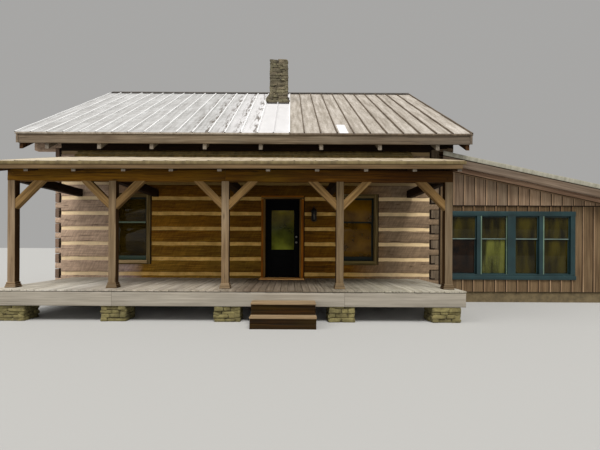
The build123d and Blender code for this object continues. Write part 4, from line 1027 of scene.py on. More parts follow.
def sloped(B, x0, x1, ya, yb, top_z, depth, slope, rng, **kw):
    """A timber in the YZ plane whose ends are cut plumb: top_z at ya, vertical depth, from ya to yb."""
    q = math.hypot(1, slope)
    d = np.array([0, 1, slope]) / q
    t = np.array([0, -slope, 1]) / q
    h = depth / q
    L = (yb - ya) * q
    org = np.array([(x0 + x1) / 2, ya, top_z - depth / 2])
    # plumb cut: a point h/2 up the normal is moved along the slope
    k = slope
    sweep(B, org, d, (1, 0, 0), t, L, x1 - x0, h, rng, cut0=(0, k), cut1=(0, k), **kw)


def mirrored(B, fn):
    """Runs fn on a builder and adds it with its mirror about the ridge."""
    T = Build()
    fn(T)
    for my in (False, True):
        base = B.n
        for v, g, tn in zip(T.v, T.gc, T.tone):
            w = v.copy()
            if my:
                w[:, 1] = 2 * RY - w[:, 1]
            B.v.append(w)
            B.gc.append(g + (7.3 if my else 0.0))
            B.tone.append(1 - tn if my else tn)
        for f, a, b in zip(T.f, T.fm, T.sm):
            ff = [i + base for i in f]
            B.f.append(ff[::-1] if my else ff)
            B.fm.append(a)
            B.sm.append(b)
        B.n += T.n


RAFTER_D, NOTCH_D = 0.386, (roof_z(0) - 0.03) - (SILL + PITCH * 9 + LH) - 0.004


def rafter(T, x):
    for ya, yb, dep in ((-0.54, -0.004, RAFTER_D), (-0.003, 0.130, NOTCH_D), (0.131, RY - 0.02, RAFTER_D)):
        sloped(T, x - 0.045, x + 0.045, ya, yb, roof_z(ya) - 0.032, dep, SL, rng, r=0.006, step=0.1, amp=0.002 if yb > 1 else 0.0,
               end=1 if ya < -0.1 and abs(x) < 5.3 else 0, mat=1 if ya < -0.1 and abs(x) < 5.3 else 0)


mirrored(B, lambda T: [rafter(T, x) for x in (-5.575,) + RAFTERS + (5.545,)])
B.make("rafter_timbers", [rafter_mat, tail_mat], "rafter_wood", replaces=("main_rafters",))
B = Build()
KX0, KX1 = -5.672, 5.642
mirrored(B, lambda T: beam(T, KX0 + 0.051, KX1 - 0.051, -0.58, -0.542, 3.995, EZ - 0.012, "x", rng, r=0.004, step=0.05, ustep=0.5, amp=0.0015))
for x0 in (KX0, KX1 - 0.05):
    mirrored(B, lambda T: sloped(T, x0, x0 + 0.05, EY + 0.005, RY - 0.002, roof_z(EY + 0.005) - 0.031, 0.22, SL, rng, r=0.004, step=0.05, amp=0.0015))
B.make("fascia_boards", [fascia_mat], "fascia_wood", replaces=("eave_fascias", "rake_boards"))

# gable boards and battens over the CAD gables
for s, name in ((-1, "left_gable_battens"), (1, "right_gable_battens")):
    B = Build()
    x = s * (HALF + 0.006)
    y = 0.12
    while y < DEPTH:
        zt = roof_z(y) - 0.032
        zb = SILL + LH / 2 + PITCH * 8.5 + LH / 2
        if y < LT or y > DEPTH - LT:
            zb = SILL + PITCH * 9 + LH
        if zt - zb > 0.05:
            beam(B, x - 0.012, x + 0.012, y - 0.02, y + 0.02, zb, zt - 0.012, "z", rng, r=0.004)
        y += 0.287
    beam(B, x - 0.014, x + 0.016, 0.21, DEPTH - 0.21, SILL + LH / 2 + PITCH * 8.5 + LH / 2 - 0.02, SILL + LH / 2 + PITCH * 8.5 + LH / 2 + 0.10, "y", rng, r=0.004)
    B.make(name, [siding_mat], "gable_boards")

# =============================================================================
# front door
# =============================================================================
B = Build()
jz = 0.622
beam(B, 0.374, 0.429, -0.025, 0.004, jz, 2.688, "z", rng, r=0.004, tone=0.45)          # casing boards
beam(B, 1.425, 1.488, -0.025, 0.004, jz, 2.688, "z", rng, r=0.004, tone=0.45)
beam(B, 0.374, 1.488, -0.0255, 0.004, 2.742, 2.782, "x", rng, r=0.004, tone=0.40)
beam(B, 0.374, 1.488, -0.0235, 0.004, 2.702, 2.741, "x", rng, r=0.002, tone=0.5, mat=1)
beam(B, 0.430, 1.424, -0.0215, 0.004, 2.689, 2.701, "x", rng, r=0.002, mat=2)
beam(B, 1.489, 1.515, -0.006, 0.004, jz, 2.77, "z", rng, r=0.001, mat=2)
beam(B, 0.430, 0.482, -0.012, 0.03, jz, 2.688, "z", rng, r=0.004, tone=0.5, mat=1)
beam(B, 1.386, 1.424, -0.012, 0.03, jz, 2.688, "z", rng, r=0.004, tone=0.5, mat=1)
beam(B, 0.431, 0.486, 0.031, LT, jz, 2.688, "z", rng, r=0.003, tone=0.3, mat=2)
beam(B, 1.388, 1.443, 0.031, LT, jz, 2.688, "z", rng, r=0.003, tone=0.3, mat=2)
beam(B, 0.4825, 0.4865, 0.002, LT, jz, 2.688, "z", rng, r=0.001, tone=0.3, mat=2)
beam(B, 0.431, 1.443, 0.0, LT, 2.687, 2.748, "x", rng, r=0.003, tone=0.3, mat=2)
beam(B, 0.486, 0.500, 0.095, 0.130, jz, 2.686, "z", rng, r=0.002, tone=0.3, mat=2)
beam(B, 1.374, 1.388, 0.095, 0.130, jz, 2.686, "z", rng, r=0.002, tone=0.3, mat=2)
B.make("door_frame_boards", [trim_mat, jamb_mat, shade_mat], "door_trim", replaces=("door_frame",))
B = Build()
beam(B, 0.431, 1.443, 0.001, LT, 0.600, 0.6215, "x", rng, r=0.004)
beam(B, 0.352, 1.488, -0.500, -0.002, 0.611, 0.624, "x", rng, r=0.006, step=0.1, ustep=0.3, amp=0.0008)
B.make("threshold_board", [thresh_mat], "threshold_wood", replaces=("door_threshold",))

B = Build()
dx0, dx1, dz0, dz1, dy0, dy1 = 0.491, 1.383, 0.646, 2.681, 0.135, 0.180
gx0, gx1, gz0, gz1 = 0.636, 1.241, 1.36, 2.41
for a, b, z0, z1 in ((dx0, gx0, dz0, dz1), (gx1, dx1, dz0, dz1), (gx0 - 0.002, gx1 + 0.002, dz0, 0.86), (gx0 - 0.002, gx1 + 0.002, 1.20, gz0), (gx0 - 0.002, gx1 + 0.002, gz1, dz1)):
    beam(B, a, b, dy0, dy1, z0, z1, "z", rng, r=0.002)
# sweep under the leaf, 6 mm off the threshold
beam(B, dx0 + 0.002, dx1 - 0.002, dy0 + 0.004, dy1 - 0.004, 0.628, dz0 + 0.004, "x", rng, r=0.002)
# moulded lower panel: a field set back with a raised middle
beam(B, gx0 - 0.004, gx1 + 0.004, dy0 + 0.014, dy1 - 0.014, 0.855, 1.205, "z", rng, r=0.001)
beam(B, gx0 + 0.05, gx1 - 0.05, dy0 + 0.007, dy1 - 0.007, 0.91, 1.15, "z", rng, r=0.006)
for a, b, z0, z1, ax in ((gx0, gx1, 0.86, 0.872, "x"), (gx0, gx1, 1.188, 1.20, "x"), (gx0, gx0 + 0.012, 0.86, 1.20, "z"), (gx1 - 0.012, gx1, 0.86, 1.20, "z")):
    beam(B, a, b, dy0 + 0.004, dy1 - 0.004, z0, z1, ax, rng, r=0.003)
# glazing bead, proud of the leaf
for a, b, z0, z1, ax in ((gx0 - 0.022, gx1 + 0.022, gz0 - 0.022, gz0 + 0.003, "x"), (gx0 - 0.022, gx1 + 0.022, gz1 - 0.003, gz1 + 0.022, "x"),
                         (gx0 - 0.022, gx0 + 0.003, gz0, gz1, "z"), (gx1 - 0.003, gx1 + 0.022, gz0, gz1, "z")):
    beam(B, a, b, dy0 - 0.006, dy1 + 0.006, z0, z1, ax, rng, r=0.004)
B.make("door_leaf_panels", [black_mat], "black_paint", body=DOOR, replaces=("door_leaf",))
for n in ("door_glass",):
    nodes[n].data.materials.clear()
    nodes[n].data.materials.append(door_glass)


def lathe(B, cx, cy, cz, prof, axis=(0, -1, 0), up=(0, 0, 1), n=20, mat=0, tone=0.5):
    """Turned form: prof is (distance along axis, radius)."""
    ax, up = np.array(axis, float), np.array(up, float)
    sd = np.cross(ax, up)
    V, F = [], []
    for u, r in prof:
        for i in range(n):
            a = 2 * math.pi * i / n
            V.append(np.array([cx, cy, cz]) + ax * u + (sd * math.cos(a) + up * math.sin(a)) * r)
    for k in range(len(prof) - 1):
        for i in range(n):
            j = (i + 1) % n
            F.append((k * n + i, k * n + j, (k + 1) * n + j, (k + 1) * n + i))
    F.append(tuple(range(n))[::-1])
    F.append(tuple((len(prof) - 1) * n + i for i in range(n)))
    B.add(V, F, np.array(V), tone, mat, [True] * (len(F) - 2) + [False, False])


B = Build()
KX, KZ, BZ = 1.304, 1.555, 1.705
for y, s in ((dy0, -1), (dy1, 1)):
    lathe(B, KX, y, KZ, [(0, 0.032), (0.005, 0.032), (0.008, 0.027), (0.010, 0.012), (0.026, 0.011), (0.032, 0.019), (0.040, 0.026),
                         (0.050, 0.027), (0.058, 0.022), (0.062, 0.010)], axis=(0, s, 0))
    lathe(B, KX, y, BZ, [(0, 0.030), (0.006, 0.030), (0.012, 0.024), (0.016, 0.022), (0.0175 if s < 0 else 0.014, 0.012)], axis=(0, s, 0))
B.make("door_knob_set", [brass_mat], "dark_metal", body=DOOR, replaces=("door_knobs",))

# =============================================================================
# cabin windows
# =============================================================================
FR, SA, GL = Build(), Build(), Build()


def window(w, axis, outer, inw, dim=0):
    """Wood frame, two sashes with rails, sill and glass, in the wall whose outer face is at outer."""
    a0, a1, z0, z1 = w

    def bar(B, p0, p1, d0, d1, q0, q1, run, **kw):
        d0, d1 = sorted((outer + d0 * inw, outer + d1 * inw))
        if axis == "x":
            beam(B, p0, p1, d0, d1, q0, q1, "z" if run == "z" else "x", rng, **kw)
        else:
            beam(B, d0, d1, p0, p1, q0, q1, "z" if run == "z" else "y", rng, **kw)
    bar(FR, a0 - BUCK, a0, -0.022, LT, z0 - BUCK, z1 + BUCK, "z", r=0.005)
    bar(FR, a1, a1 + BUCK, -0.022, LT, z0 - BUCK, z1 + BUCK, "z", r=0.005)
    bar(FR, a0 - 0.002, a1 + 0.002, -0.020, LT, z1, z1 + BUCK, "h", r=0.005)
    bar(FR, a0 - 0.002, a1 + 0.002, -0.016, LT, z0 - BUCK, z0, "h", r=0.005)
    bar(FR, a0 - 0.02, a1 + 0.02, -0.046, 0.03, z0 - 0.078, z0 + 0.004, "h", r=0.006, mat=2 if dim else 1)
    bar(FR, a0 - 0.05, a1 + 0.05, -0.030, 0.01, z0 - 0.104, z0 - 0.079, "h", r=0.004, mat=2 if dim else 0)
    # dark joint between the casing and the cut logs
    for e0, e1 in ((a0 - BUCK - 0.026, a0 - BUCK - 0.001), (a1 + BUCK + 0.001, a1 + BUCK + 0.026)):
        bar(FR, e0, e1, -0.006, 0.02, z0 - BUCK, z1 + BUCK, "z", r=0.001, mat=3)
    mz = (z0 + z1) / 2 + (0.19 if dim else 0.17)
    w_ = 0.050
    for (q0, q1, d0, d1) in ((mz - 0.02, z1, 0.045, 0.075), (z0, mz + 0.02, 0.078, 0.108)):
        bar(SA, a0, a0 + w_, d0, d1, q0, q1, "z", r=0.004, mat=1)
        bar(SA, a1 - w_, a1, d0, d1, q0, q1, "z", r=0.004, mat=1)
        # painted light: the bottom rail takes the lit copy of the sash paint, except in the dim window
        bar(SA, a0 + w_ - 0.002, a1 - w_ + 0.002, d0 + 0.001, d1 - 0.001, q0, q0 + (0.118 if q0 == z0 else 0.042), "h", r=0.004, mat=1 if dim else (0 if q0 == z0 else 2))
        bar(SA, a0 + w_ - 0.002, a1 - w_ + 0.002, d0 + 0.001, d1 - 0.001, q1 - (0.050 if q1 == z1 else 0.036), q1, "h", r=0.004, mat=1)
        # the dim window's glass is the lighter copy: painted light
        bar(GL, a0 + w_ - 0.004, a1 - w_ + 0.004, (d0 + d1) / 2 - 0.003, (d0 + d1) / 2 + 0.003, q0 + 0.03, q1 - 0.03, "h", r=0.001, step=1, ustep=5, mat=dim)


for dim, w in enumerate(WINDOWS):
    window(w, "x", 0.0, 1, dim)
    window(w, "x", DEPTH, -1, dim)
for w in LEFT_WINDOWS:
    window(w, "y", -HALF, 1)
for w in RIGHT_WINDOWS:
    window(w, "y", HALF, -1)
FR.make("window_frames_wood", [casing_mat, sill_mat, sill_dim, shade_mat], "window_wood", replaces=("cabin_window_frames",))
SA.make("window_sashes_teal", [sash_lit, sash_dark, sash_edge], "teal_paint", replaces=("cabin_sashes",))
GL.make("window_panes", [win_glass, win_glass_right_lit], "window_glass", replaces=("cabin_window_glass",))

# wall lantern: back plate, arm, hood, cage and glass
B = Build()
lx, ly, lz0, lz1 = 1.752, -0.12, 2.11, 2.37
beam(B, 1.712, 1.792, -0.02, 0.0, 2.20, 2.40, "z", rng, r=0.006)
sweep(B, (lx, -0.015, 2.385), (0, -1, 0.30), (1, 0, 0), (0, 0.3, 1), 0.11, 0.018, 0.018, rng, r=0.006)
lathe(B, lx, ly, 2.36, [(0.0, 0.080), (0.014, 0.080), (0.045, 0.066), (0.075, 0.040), (0.095, 0.018), (0.115, 0.012), (0.125, 0.020), (0.140, 0.010)], axis=(0, 0, 1), up=(0, 1, 0), n=12)
lathe(B, lx, ly, 2.095, [(0.0, 0.02), (0.010, 0.05), (0.03, 0.062), (0.036, 0.062)], axis=(0, 0, 1), up=(0, 1, 0), n=12)
for i in range(6):
    a = math.pi / 3 * i
    x, y = lx + 0.060 * math.cos(a), ly + 0.060 * math.sin(a)
    beam(B, x - 0.009, x + 0.009, y - 0.009, y + 0.009, 2.12, 2.37, "z", rng, r=0.003)
for zr in (2.13, 2.29, 2.345):
    lathe(B, lx, ly, zr, [(0.0, 0.056), (0.004, 0.069), (0.014, 0.069), (0.018, 0.056)], axis=(0, 0, 1), up=(0, 1, 0), n=12)
lathe(B, lx, ly, 2.13, [(0.0, 0.030), (0.10, 0.036), (0.16, 0.030), (0.20, 0.014)], axis=(0, 0, 1), up=(0, 1, 0), n=12, mat=1)
lathe(B, lx, ly, 2.125, [(0.0, 0.050), (0.12, 0.053), (0.24, 0.054)], axis=(0, 0, 1), up=(0, 1, 0), n=12, mat=2)
B.make("lantern_cage", [iron_mat, lamp_glass, lamp_pane], "lantern_black", replaces=("wall_lantern",))

# =============================================================================
# deck and steps
# =============================================================================
B = Build()
DX0, DX1, DY0 = -4.60, 4.505, -2.79
pitch = (DX1 - DX0) / 64
for i in range(64):
    x0 = DX0 + pitch * i + 0.0040
    e = rng.uniform(-0.003, 0.005)
    beam(B, x0, x0 + pitch - 0.008, DY0 + e, -0.002, DECK_Z - 0.028 + rng.uniform(-0.0006, 0.0006), DECK_Z + rng.uniform(-0.001, 0.001), "y", rng,
         r=0.004, step=0.2, ustep=0.5, amp=0.0008)
B.make("deck_board_rows", [deck_mat], "deck_wood", replaces=("deck_boards",))
B = Build()
RZ0, RZ1 = 0.300, DECK_Z - 0.040
for a, b in ((DX0 + 0.01, -2.277), (-2.273, 2.176), (2.180, DX1 - 0.01)):
    beam(B, a, b, DY0 + 0.010, DY0 + 0.05, RZ0, RZ1, "x", rng, r=0.004, step=0.06, ustep=0.4, amp=0.0012)
for a in (DX0 + 0.01, DX1 - 0.05):
    beam(B, a, a + 0.04, DY0 + 0.051, -0.04, RZ0, RZ1, "y", rng, r=0.004, step=0.06, ustep=0.4)
beam(B, DX0 + 0.01, DX1 - 0.01, -0.04, 0, 0.366, RZ1, "x", rng, r=0.004)
beam(B, DX0 + 0.02, DX1 - 0.02, DY0 + 0.018, DY0 + 0.05, RZ1 - 0.002, DECK_Z - 0.029, "x", rng, r=0.002, mat=2)
for i in range(1, 14):
    x = DX0 + (DX1 - DX0) * i / 14
    beam(B, x - 0.02, x + 0.02, DY0 + 0.051, -0.04, 0.39, RZ1, "y", rng, r=0.003, mat=1)
B.make("deck_frame_boards", [rim_mat, rafter_mat, shade_mat], "rim_wood", replaces=("deck_framing",))

B = Build()
sx0, sx1 = 0.418, 1.608
for (ya, yb, zt) in ((-3.42, -3.156, 0.214), (-3.185, DY0, 0.425)):
    n = 2
    for i in range(n):
        p = (yb - ya) / n
        beam(B, sx0 + rng.uniform(0, 0.006), sx1 - rng.uniform(0, 0.006), ya + p * i + 0.002, ya + p * (i + 1) - 0.002, zt - 0.030, zt, "x", rng, r=0.006, step=0.06, ustep=0.2, amp=0.0015)
B.make("tread_boards", [tread_mat], "tread_wood", replaces=("step_treads",))
B = Build()
sb0, sb1 = sx0 + 0.008, sx1 - 0.012
for z0, z1, ya, yb in ((0.0, 0.183, -3.40, -3.36), (0.185, 0.394, -3.155, -3.115)):
    zm = z0 + (z1 - z0) * 0.52
    for q0, q1 in ((z0, zm - 0.002), (zm + 0.002, z1)):
        beam(B, sb0, sb1, ya, yb, q0, q1, "x", rng, r=0.006, step=0.05, ustep=0.2, amp=0.002)
        for a in (sb0, sb1 - 0.04):
            beam(B, a, a + 0.04, yb + 0.001, DY0, q0, q1, "y", rng, r=0.006, step=0.05, ustep=0.2, amp=0.002)
B.make("riser_boards", [riser_mat], "riser_wood", replaces=("step_boxes",))

# =============================================================================
# porch
# =============================================================================
POSTS = (-4.40, -2.40, -0.158, 2.12, 4.277)
PW, PY0 = 0.148, -2.50
PY1 = PY0 + PW
BZ0, BZ1 = 2.738, 2.97
hw = PW / 2
B = Build()
for x in POSTS:
    beam(B, x - hw, x + hw, PY0, PY1, DECK_Z + 0.02, BZ0, "z", rng, r=0.007, step=0.05, ustep=0.2, amp=0.0018, end=1)
    # split base collar, flared at the foot
    for zb, zt, o in ((DECK_Z, DECK_Z + 0.034, 0.030), (DECK_Z + 0.030, DECK_Z + 0.068, 0.022), (DECK_Z + 0.064, DECK_Z + 0.110, 0.012)):
        for (a, b, c, d, run) in ((x - hw - o, x + hw + o, PY0 - o, PY0 + 0.002, "x"), (x - hw - o, x + hw + o, PY1 - 0.002, PY1 + o, "x"),
                                  (x - hw - o, x - hw + 0.002, PY0 + 0.003, PY1 - 0.003, "y"), (x + hw - 0.002, x + hw + o, PY0 + 0.003, PY1 - 0.003, "y")):
            beam(B, a, b, c, d, zb, zt, run, rng, r=0.010)
# painted shade: the sides turned away from the light, +X on every post and -X past x 1.5, take a darker copy of the
# post wood
allv = np.vstack(B.v)
for k_, f_ in enumerate(B.f):
    if B.fm[k_] == 0 and len(f_) == 4:
        q_ = allv[f_]
        n_ = np.cross(q_[2] - q_[0], q_[3] - q_[1])
        n_ = n_ / (np.linalg.norm(n_) + 1e-12)
        if n_[0] > 0.85 or (n_[0] < -0.85 and q_[0][0] > 1.5):
            B.fm[k_] = 2
B.make("post_timbers", [post_mat, post_end, post_side_shade], "post_wood", replaces=("porch_posts", "post_bases"))
B = Build()
# the beam is jointed over the middle post
for a, b in ((POSTS[0] - hw, POSTS[2] - 0.002), (POSTS[2] + 0.002, POSTS[4] + hw)):
    beam(B, a, b, PY0, PY1, BZ0, BZ1, "x", rng, r=0.008, step=0.05, ustep=0.25, amp=0.003, end=1)
for x in POSTS:
    beam(B, x - 0.075, x + 0.075, PY1 + 0.001, -0.001, BZ0, 2.93, "y", rng, r=0.006, step=0.08, ustep=0.3, amp=0.002, mat=2)
# painted shade: blocking between the rafters over the beam, in the near-black tie wood
beam(B, POSTS[0] - hw, POSTS[4] + hw, -2.44, -2.42, BZ1 - 0.01, 3.135, "x", rng, r=0.003, mat=2)
# pegs
for x in (POSTS[0], POSTS[4]):
    for dx, dz in ((-0.035, 0.06), (0.035, 0.15)):
        lathe(B, x + dx, PY0 + 0.003, BZ0 + dz, [(0, 0.012), (0.008, 0.012), (0.010, 0.009)], n=10)
B.make("beam_timbers", [beam_mat, post_end, tie_mat], "beam_wood", replaces=("porch_beam", "porch_ties"))
B = Build()
LEG, BV = 0.56, 0.198
for i, x in enumerate(POSTS):
    for s in (-1, 1):
        if (i == 0 and s < 0) or (i == 4 and s > 0):
            continue
        xp = x + s * hw
        d = np.array([s, 0, 1]) / math.sqrt(2)
        t = np.array([-s, 0, 1]) / math.sqrt(2)
        wd = BV / math.sqrt(2)
        mid = np.array([xp, (PY0 + PY1) / 2, BZ0 - LEG + BV / 2])
        L = (LEG - BV / 2) * math.sqrt(2)
        # plumb cut at the post, level cut under the beam
        sweep(B, mid, d, (0, 1, 0), t, L, PW - 0.02, wd, rng, r=0.006, step=0.04, ustep=0.12, amp=0.002, cut0=(0, 1.0), cut1=(0, -1.0), end=1)
B.make("brace_timbers", [brace_mat, post_end], "post_wood", replaces=("porch_braces",))
B = Build()
PSL, PEY, PEZ = 0.252, -2.84, 3.075


def pz(y):
    return PEZ + PSL * (y - PEY)


def settle(B):
    """Lifts the eave by 1 cm, its left end 3 cm less, and nothing at the wall."""
    for v in B.v:
        v[:, 2] += 0.012 * np.clip(-v[:, 1] / 2.5, 0, 1)
        v[:, 2] -= 0.034 * np.clip((4.46 - v[:, 0]) / 8.96, 0, 1) * np.clip(-v[:, 1] / 2.5, 0, 1)


d_r = pz(PY0) - 0.035 - BZ1 + 0.011
for x in (-4.455, -3.912, -3.004, -2.055, -1.147, -0.223, 0.703, 1.638, 2.573, 3.50, 4.355):
    sloped(B, x - 0.04, x + 0.04, -2.80, -0.002, pz(-2.80) - 0.036, d_r, PSL, rng, r=0.004, amp=0.001, end=1)
settle(B)
B.make("porch_rafter_timbers", [rafter_mat, tail_mat], "rafter_wood", replaces=("porch_rafters",))

PX0, PX1 = -4.50, 4.46
psl = np.array([0, 1, PSL]) / math.hypot(1, PSL)
pnr = np.array([0, -PSL, 1]) / math.hypot(1, PSL)
B = Build()
pe = [PX0 + 0.016] + [PX0 + (PX1 - PX0) * i / 22 for i in range(1, 22)] + [PX1 - 0.016]
sheet_roof(B, (PX0, PX1), pe, lambda x, s: (np.array([x, PEY, PEZ]) + psl * s, pnr), 2.84 * math.hypot(1, PSL), 10, rng, seam_h=0.008, t=0.030, wave=0.001)
settle(B)
B.make("porch_roof_sheet", [porch_metal, batten_mat], "porch_metal", replaces=("porch_roof",))
B = Build()
# two lapped sheets that step up to the wall, the lower one with a folded top edge
AX0, AX1_ = -4.44, 4.30


def apron_z(y):
    return pz(-0.205) + (3.955 - pz(-0.205)) * (y + 0.205) / 0.205


for ya, yb, lift, th_, m_ in ((-0.205, -0.125, 0.012, 0.012, 0), (-0.132, -0.122, 0.016, 0.016, 1), (-0.130, -0.004, 0.0, 0.012, 0), (-0.068, -0.062, 0.004, 0.012, 1)):
    q0 = np.array([(AX0 + AX1_) / 2, ya, apron_z(ya)])
    q1 = np.array([(AX0 + AX1_) / 2, yb, apron_z(yb)])
    d_ = (q1 - q0)
    L_ = np.linalg.norm(d_)
    d_ = d_ / L_
    n_ = np.cross((1, 0, 0), d_)
    sweep(B, (q0 + q1) / 2 + n_ * (lift - th_ / 2) - np.array([(AX1_ - AX0) / 2, 0, 0]), (1, 0, 0), d_, n_, AX1_ - AX0, L_, th_, rng, r=0.002, ustep=0.5, amp=0.0012, mat=m_)
B.make("porch_apron_sheet", [apron_metal, apron_edge], "porch_metal", replaces=("porch_apron",))
B = Build()
beam(B, PX0, PX1 - 0.06, -2.83, -2.79, 2.93, 3.040, "x", rng, r=0.004, step=0.04, ustep=0.4, amp=0.0012)
for x0 in (PX0, PX1 - 0.095):
    sloped(B, x0, x0 + 0.035, -2.789, -0.01, pz(-2.789) - 0.036, 0.11, PSL, rng, r=0.004)
# drip edge: a folded metal nosing over the fascia
beam(B, PX0 - 0.004, PX1 + 0.004, -2.842, -2.826, 3.012, 3.072, "x", rng, r=0.004, step=0.03, ustep=0.5, amp=0.0010, mat=1)
settle(B)
B.make("porch_fascia_boards", [porch_board, trim_metal], "fascia_wood", replaces=("porch_fascia",))

# =============================================================================
# wing
# =============================================================================
AX1, AY0, AY1, AT = 9.92, 0.03, 6.13, 0.15
ATOP, ASL, AEX = 3.908, 0.211, 10.22


def wtop(x):
    return ATOP - ASL * (x - HALF)


def wunder(x):
    return wtop(x) - 0.04


WG = (5.25, 8.64, 0.602, 2.397)
EG = (1.385, 4.775, 0.602, 2.397)
BAND = 2.555
WBOT = 0.280
SB, WF, WS, WGL = Build(), Build(), Build(), Build()
for n in ("wing_front_wall", "wing_back_wall", "wing_end_wall", "left_gable", "right_gable"):
    nodes[n].data.materials.clear()
    nodes[n].data.materials.append(wood("siding_back_" + n, srgb(76, 60, 44), srgb(108, 88, 66), srgb(134, 112, 86), grain=(26, 26, 1.0), tone=0.0,
                                        source="obj", weather=srgb(128, 110, 88), weather_amt=0.4, cracks=0.4))


def siding(a0, a1, z_hi, group, put, lo_at, up_at):
    """Wide boards with narrow battens, lower and upper lift. put(p0, p1, d0, d1, z0, z1, mat) places a piece proud of the wall by d."""
    g0, g1, gz0_, gz1_ = group
    step_ = 0.288

    def cuts(at):
        k = math.ceil((a0 + 0.04 - at) / step_)
        out = []
        while at + step_ * k < a1 - 0.04:
            out.append(at + step_ * k)
            k += 1
        return out
    # lower lift
    top = BAND + 0.015
    es = cuts(lo_at)
    for p, q in zip([a0] + es, es + [a1]):
        b0, b1 = p + 0.002, q - 0.002
        for lo, hi in ((b0, min(b1, g0 - 0.002)), (max(b0, g1 + 0.002), b1)):
            if hi - lo > 0.004:
                put(lo, hi, 0.0, 0.012, WBOT, top, 0)
        lo, hi = max(b0, g0 + 0.001), min(b1, g1 - 0.001)
        if hi - lo > 0.004:
            put(lo, hi, 0.0, 0.012, WBOT, gz0_, 0)
            # the boards above the window take the shaded siding: painted shade
            put(lo, hi, 0.0, 0.012, gz1_, top, 4)
    for p in es:
        low = BAND - 0.024
        # battens above the window take the shaded batten wood: painted shade
        spans = [(WBOT, gz0_ - 0.002, 1), (gz1_ + 0.002, low, 5)] if g0 - 0.03 < p < g1 + 0.03 else [(WBOT, low, 1)]
        for s0, s1, m_ in spans:
            put(p - 0.0265, p - 0.0175, 0.008, 0.026, s0, s1, 2)
            put(p - 0.017, p + 0.017, 0.008, 0.032, s0, s1, m_)
    # upper lift
    es = cuts(up_at)
    if z_hi(a1) > BAND + 0.05 or z_hi(a0) > BAND + 0.05:
        for p, q in zip([a0] + es, es + [a1]):
            top = min(z_hi(p), z_hi(q)) + 0.05
            if top > BAND + 0.02:
                put(p + 0.002, q - 0.002, 0.016, 0.030, BAND, top, 3)
        for p in es:
            top = z_hi(p)
            if top > BAND + 0.03:
                put(p - 0.0265, p - 0.0175, 0.026, 0.044, BAND, top, 2)
                put(p - 0.017, p + 0.017, 0.026, 0.048, BAND, top, 6)


def put_front(p0, p1, d0, d1, z0, z1, mat=0):
    beam(SB, p0, p1, AY0 - d1, AY0 - d0, z0, z1, "z", rng, r=0.003, ustep=1.0, mat=mat)


def put_back(p0, p1, d0, d1, z0, z1, mat=0):
    beam(SB, p0, p1, AY1 + d0, AY1 + d1, z0, z1, "z", rng, r=0.003, ustep=1.0, mat=mat)


def put_end(p0, p1, d0, d1, z0, z1, mat=0):
    beam(SB, AX1 + d0, AX1 + d1, p0, p1, z0, z1, "z", rng, r=0.003, ustep=1.0, mat=mat)


siding(HALF + 0.02, AX1, lambda x: wtop(x) - 0.36, WG, put_front, 7.125, 7.16)
siding(HALF + 0.02, AX1, lambda x: wtop(x) - 0.36, WG, put_back, 7.125, 7.16)
siding(AY0, AY1, lambda y: wunder(AX1) - 0.02, EG, put_end, 3.08, 3.10)
# corner boards, and a painted shadow line under the upper lift
for x0, x1, y0, y1 in ((AX1 - 0.06, AX1 + 0.028, AY0 - 0.036, AY0 - 0.013), (AX1 - 0.06, AX1 + 0.028, AY1 + 0.013, AY1 + 0.036),
                       (HALF + 0.036, HALF + 0.09, AY0 - 0.054, AY0 - 0.031), (HALF + 0.036, HALF + 0.09, AY1 + 0.031, AY1 + 0.054)):
    beam(SB, x0, x1, y0, y1, WBOT, wtop(x1) - 0.38, "z", rng, r=0.004)
for y0, y1 in ((AY0 - 0.049, AY0 - 0.031), (AY1 + 0.031, AY1 + 0.049)):
    beam(SB, HALF + 0.004, HALF + 0.037, y0, y1, WBOT, wtop(HALF) - 0.38, "z", rng, r=0.001, mat=2)
for y0, y1 in ((AY0 - 0.040, AY0 - 0.012), (AY1 + 0.012, AY1 + 0.040)):
    beam(SB, HALF + 0.02, AX1, y0, y1, BAND - 0.023, BAND - 0.001, "x", rng, r=0.002, mat=2)
# dark line where the boards end over the foundation
for y0, y1 in ((AY0 - 0.008, AY0 - 0.001), (AY1 + 0.001, AY1 + 0.008)):
    beam(SB, HALF + 0.02, AX1, y0, y1, WBOT - 0.012, WBOT + 0.002, "x", rng, r=0.001, mat=2)
B = SB
B.make("wing_siding_boards", [siding_mat, batten_line, shade_mat, siding_up_mat, siding_dim, batten_dim, batten_up], "siding_wood")


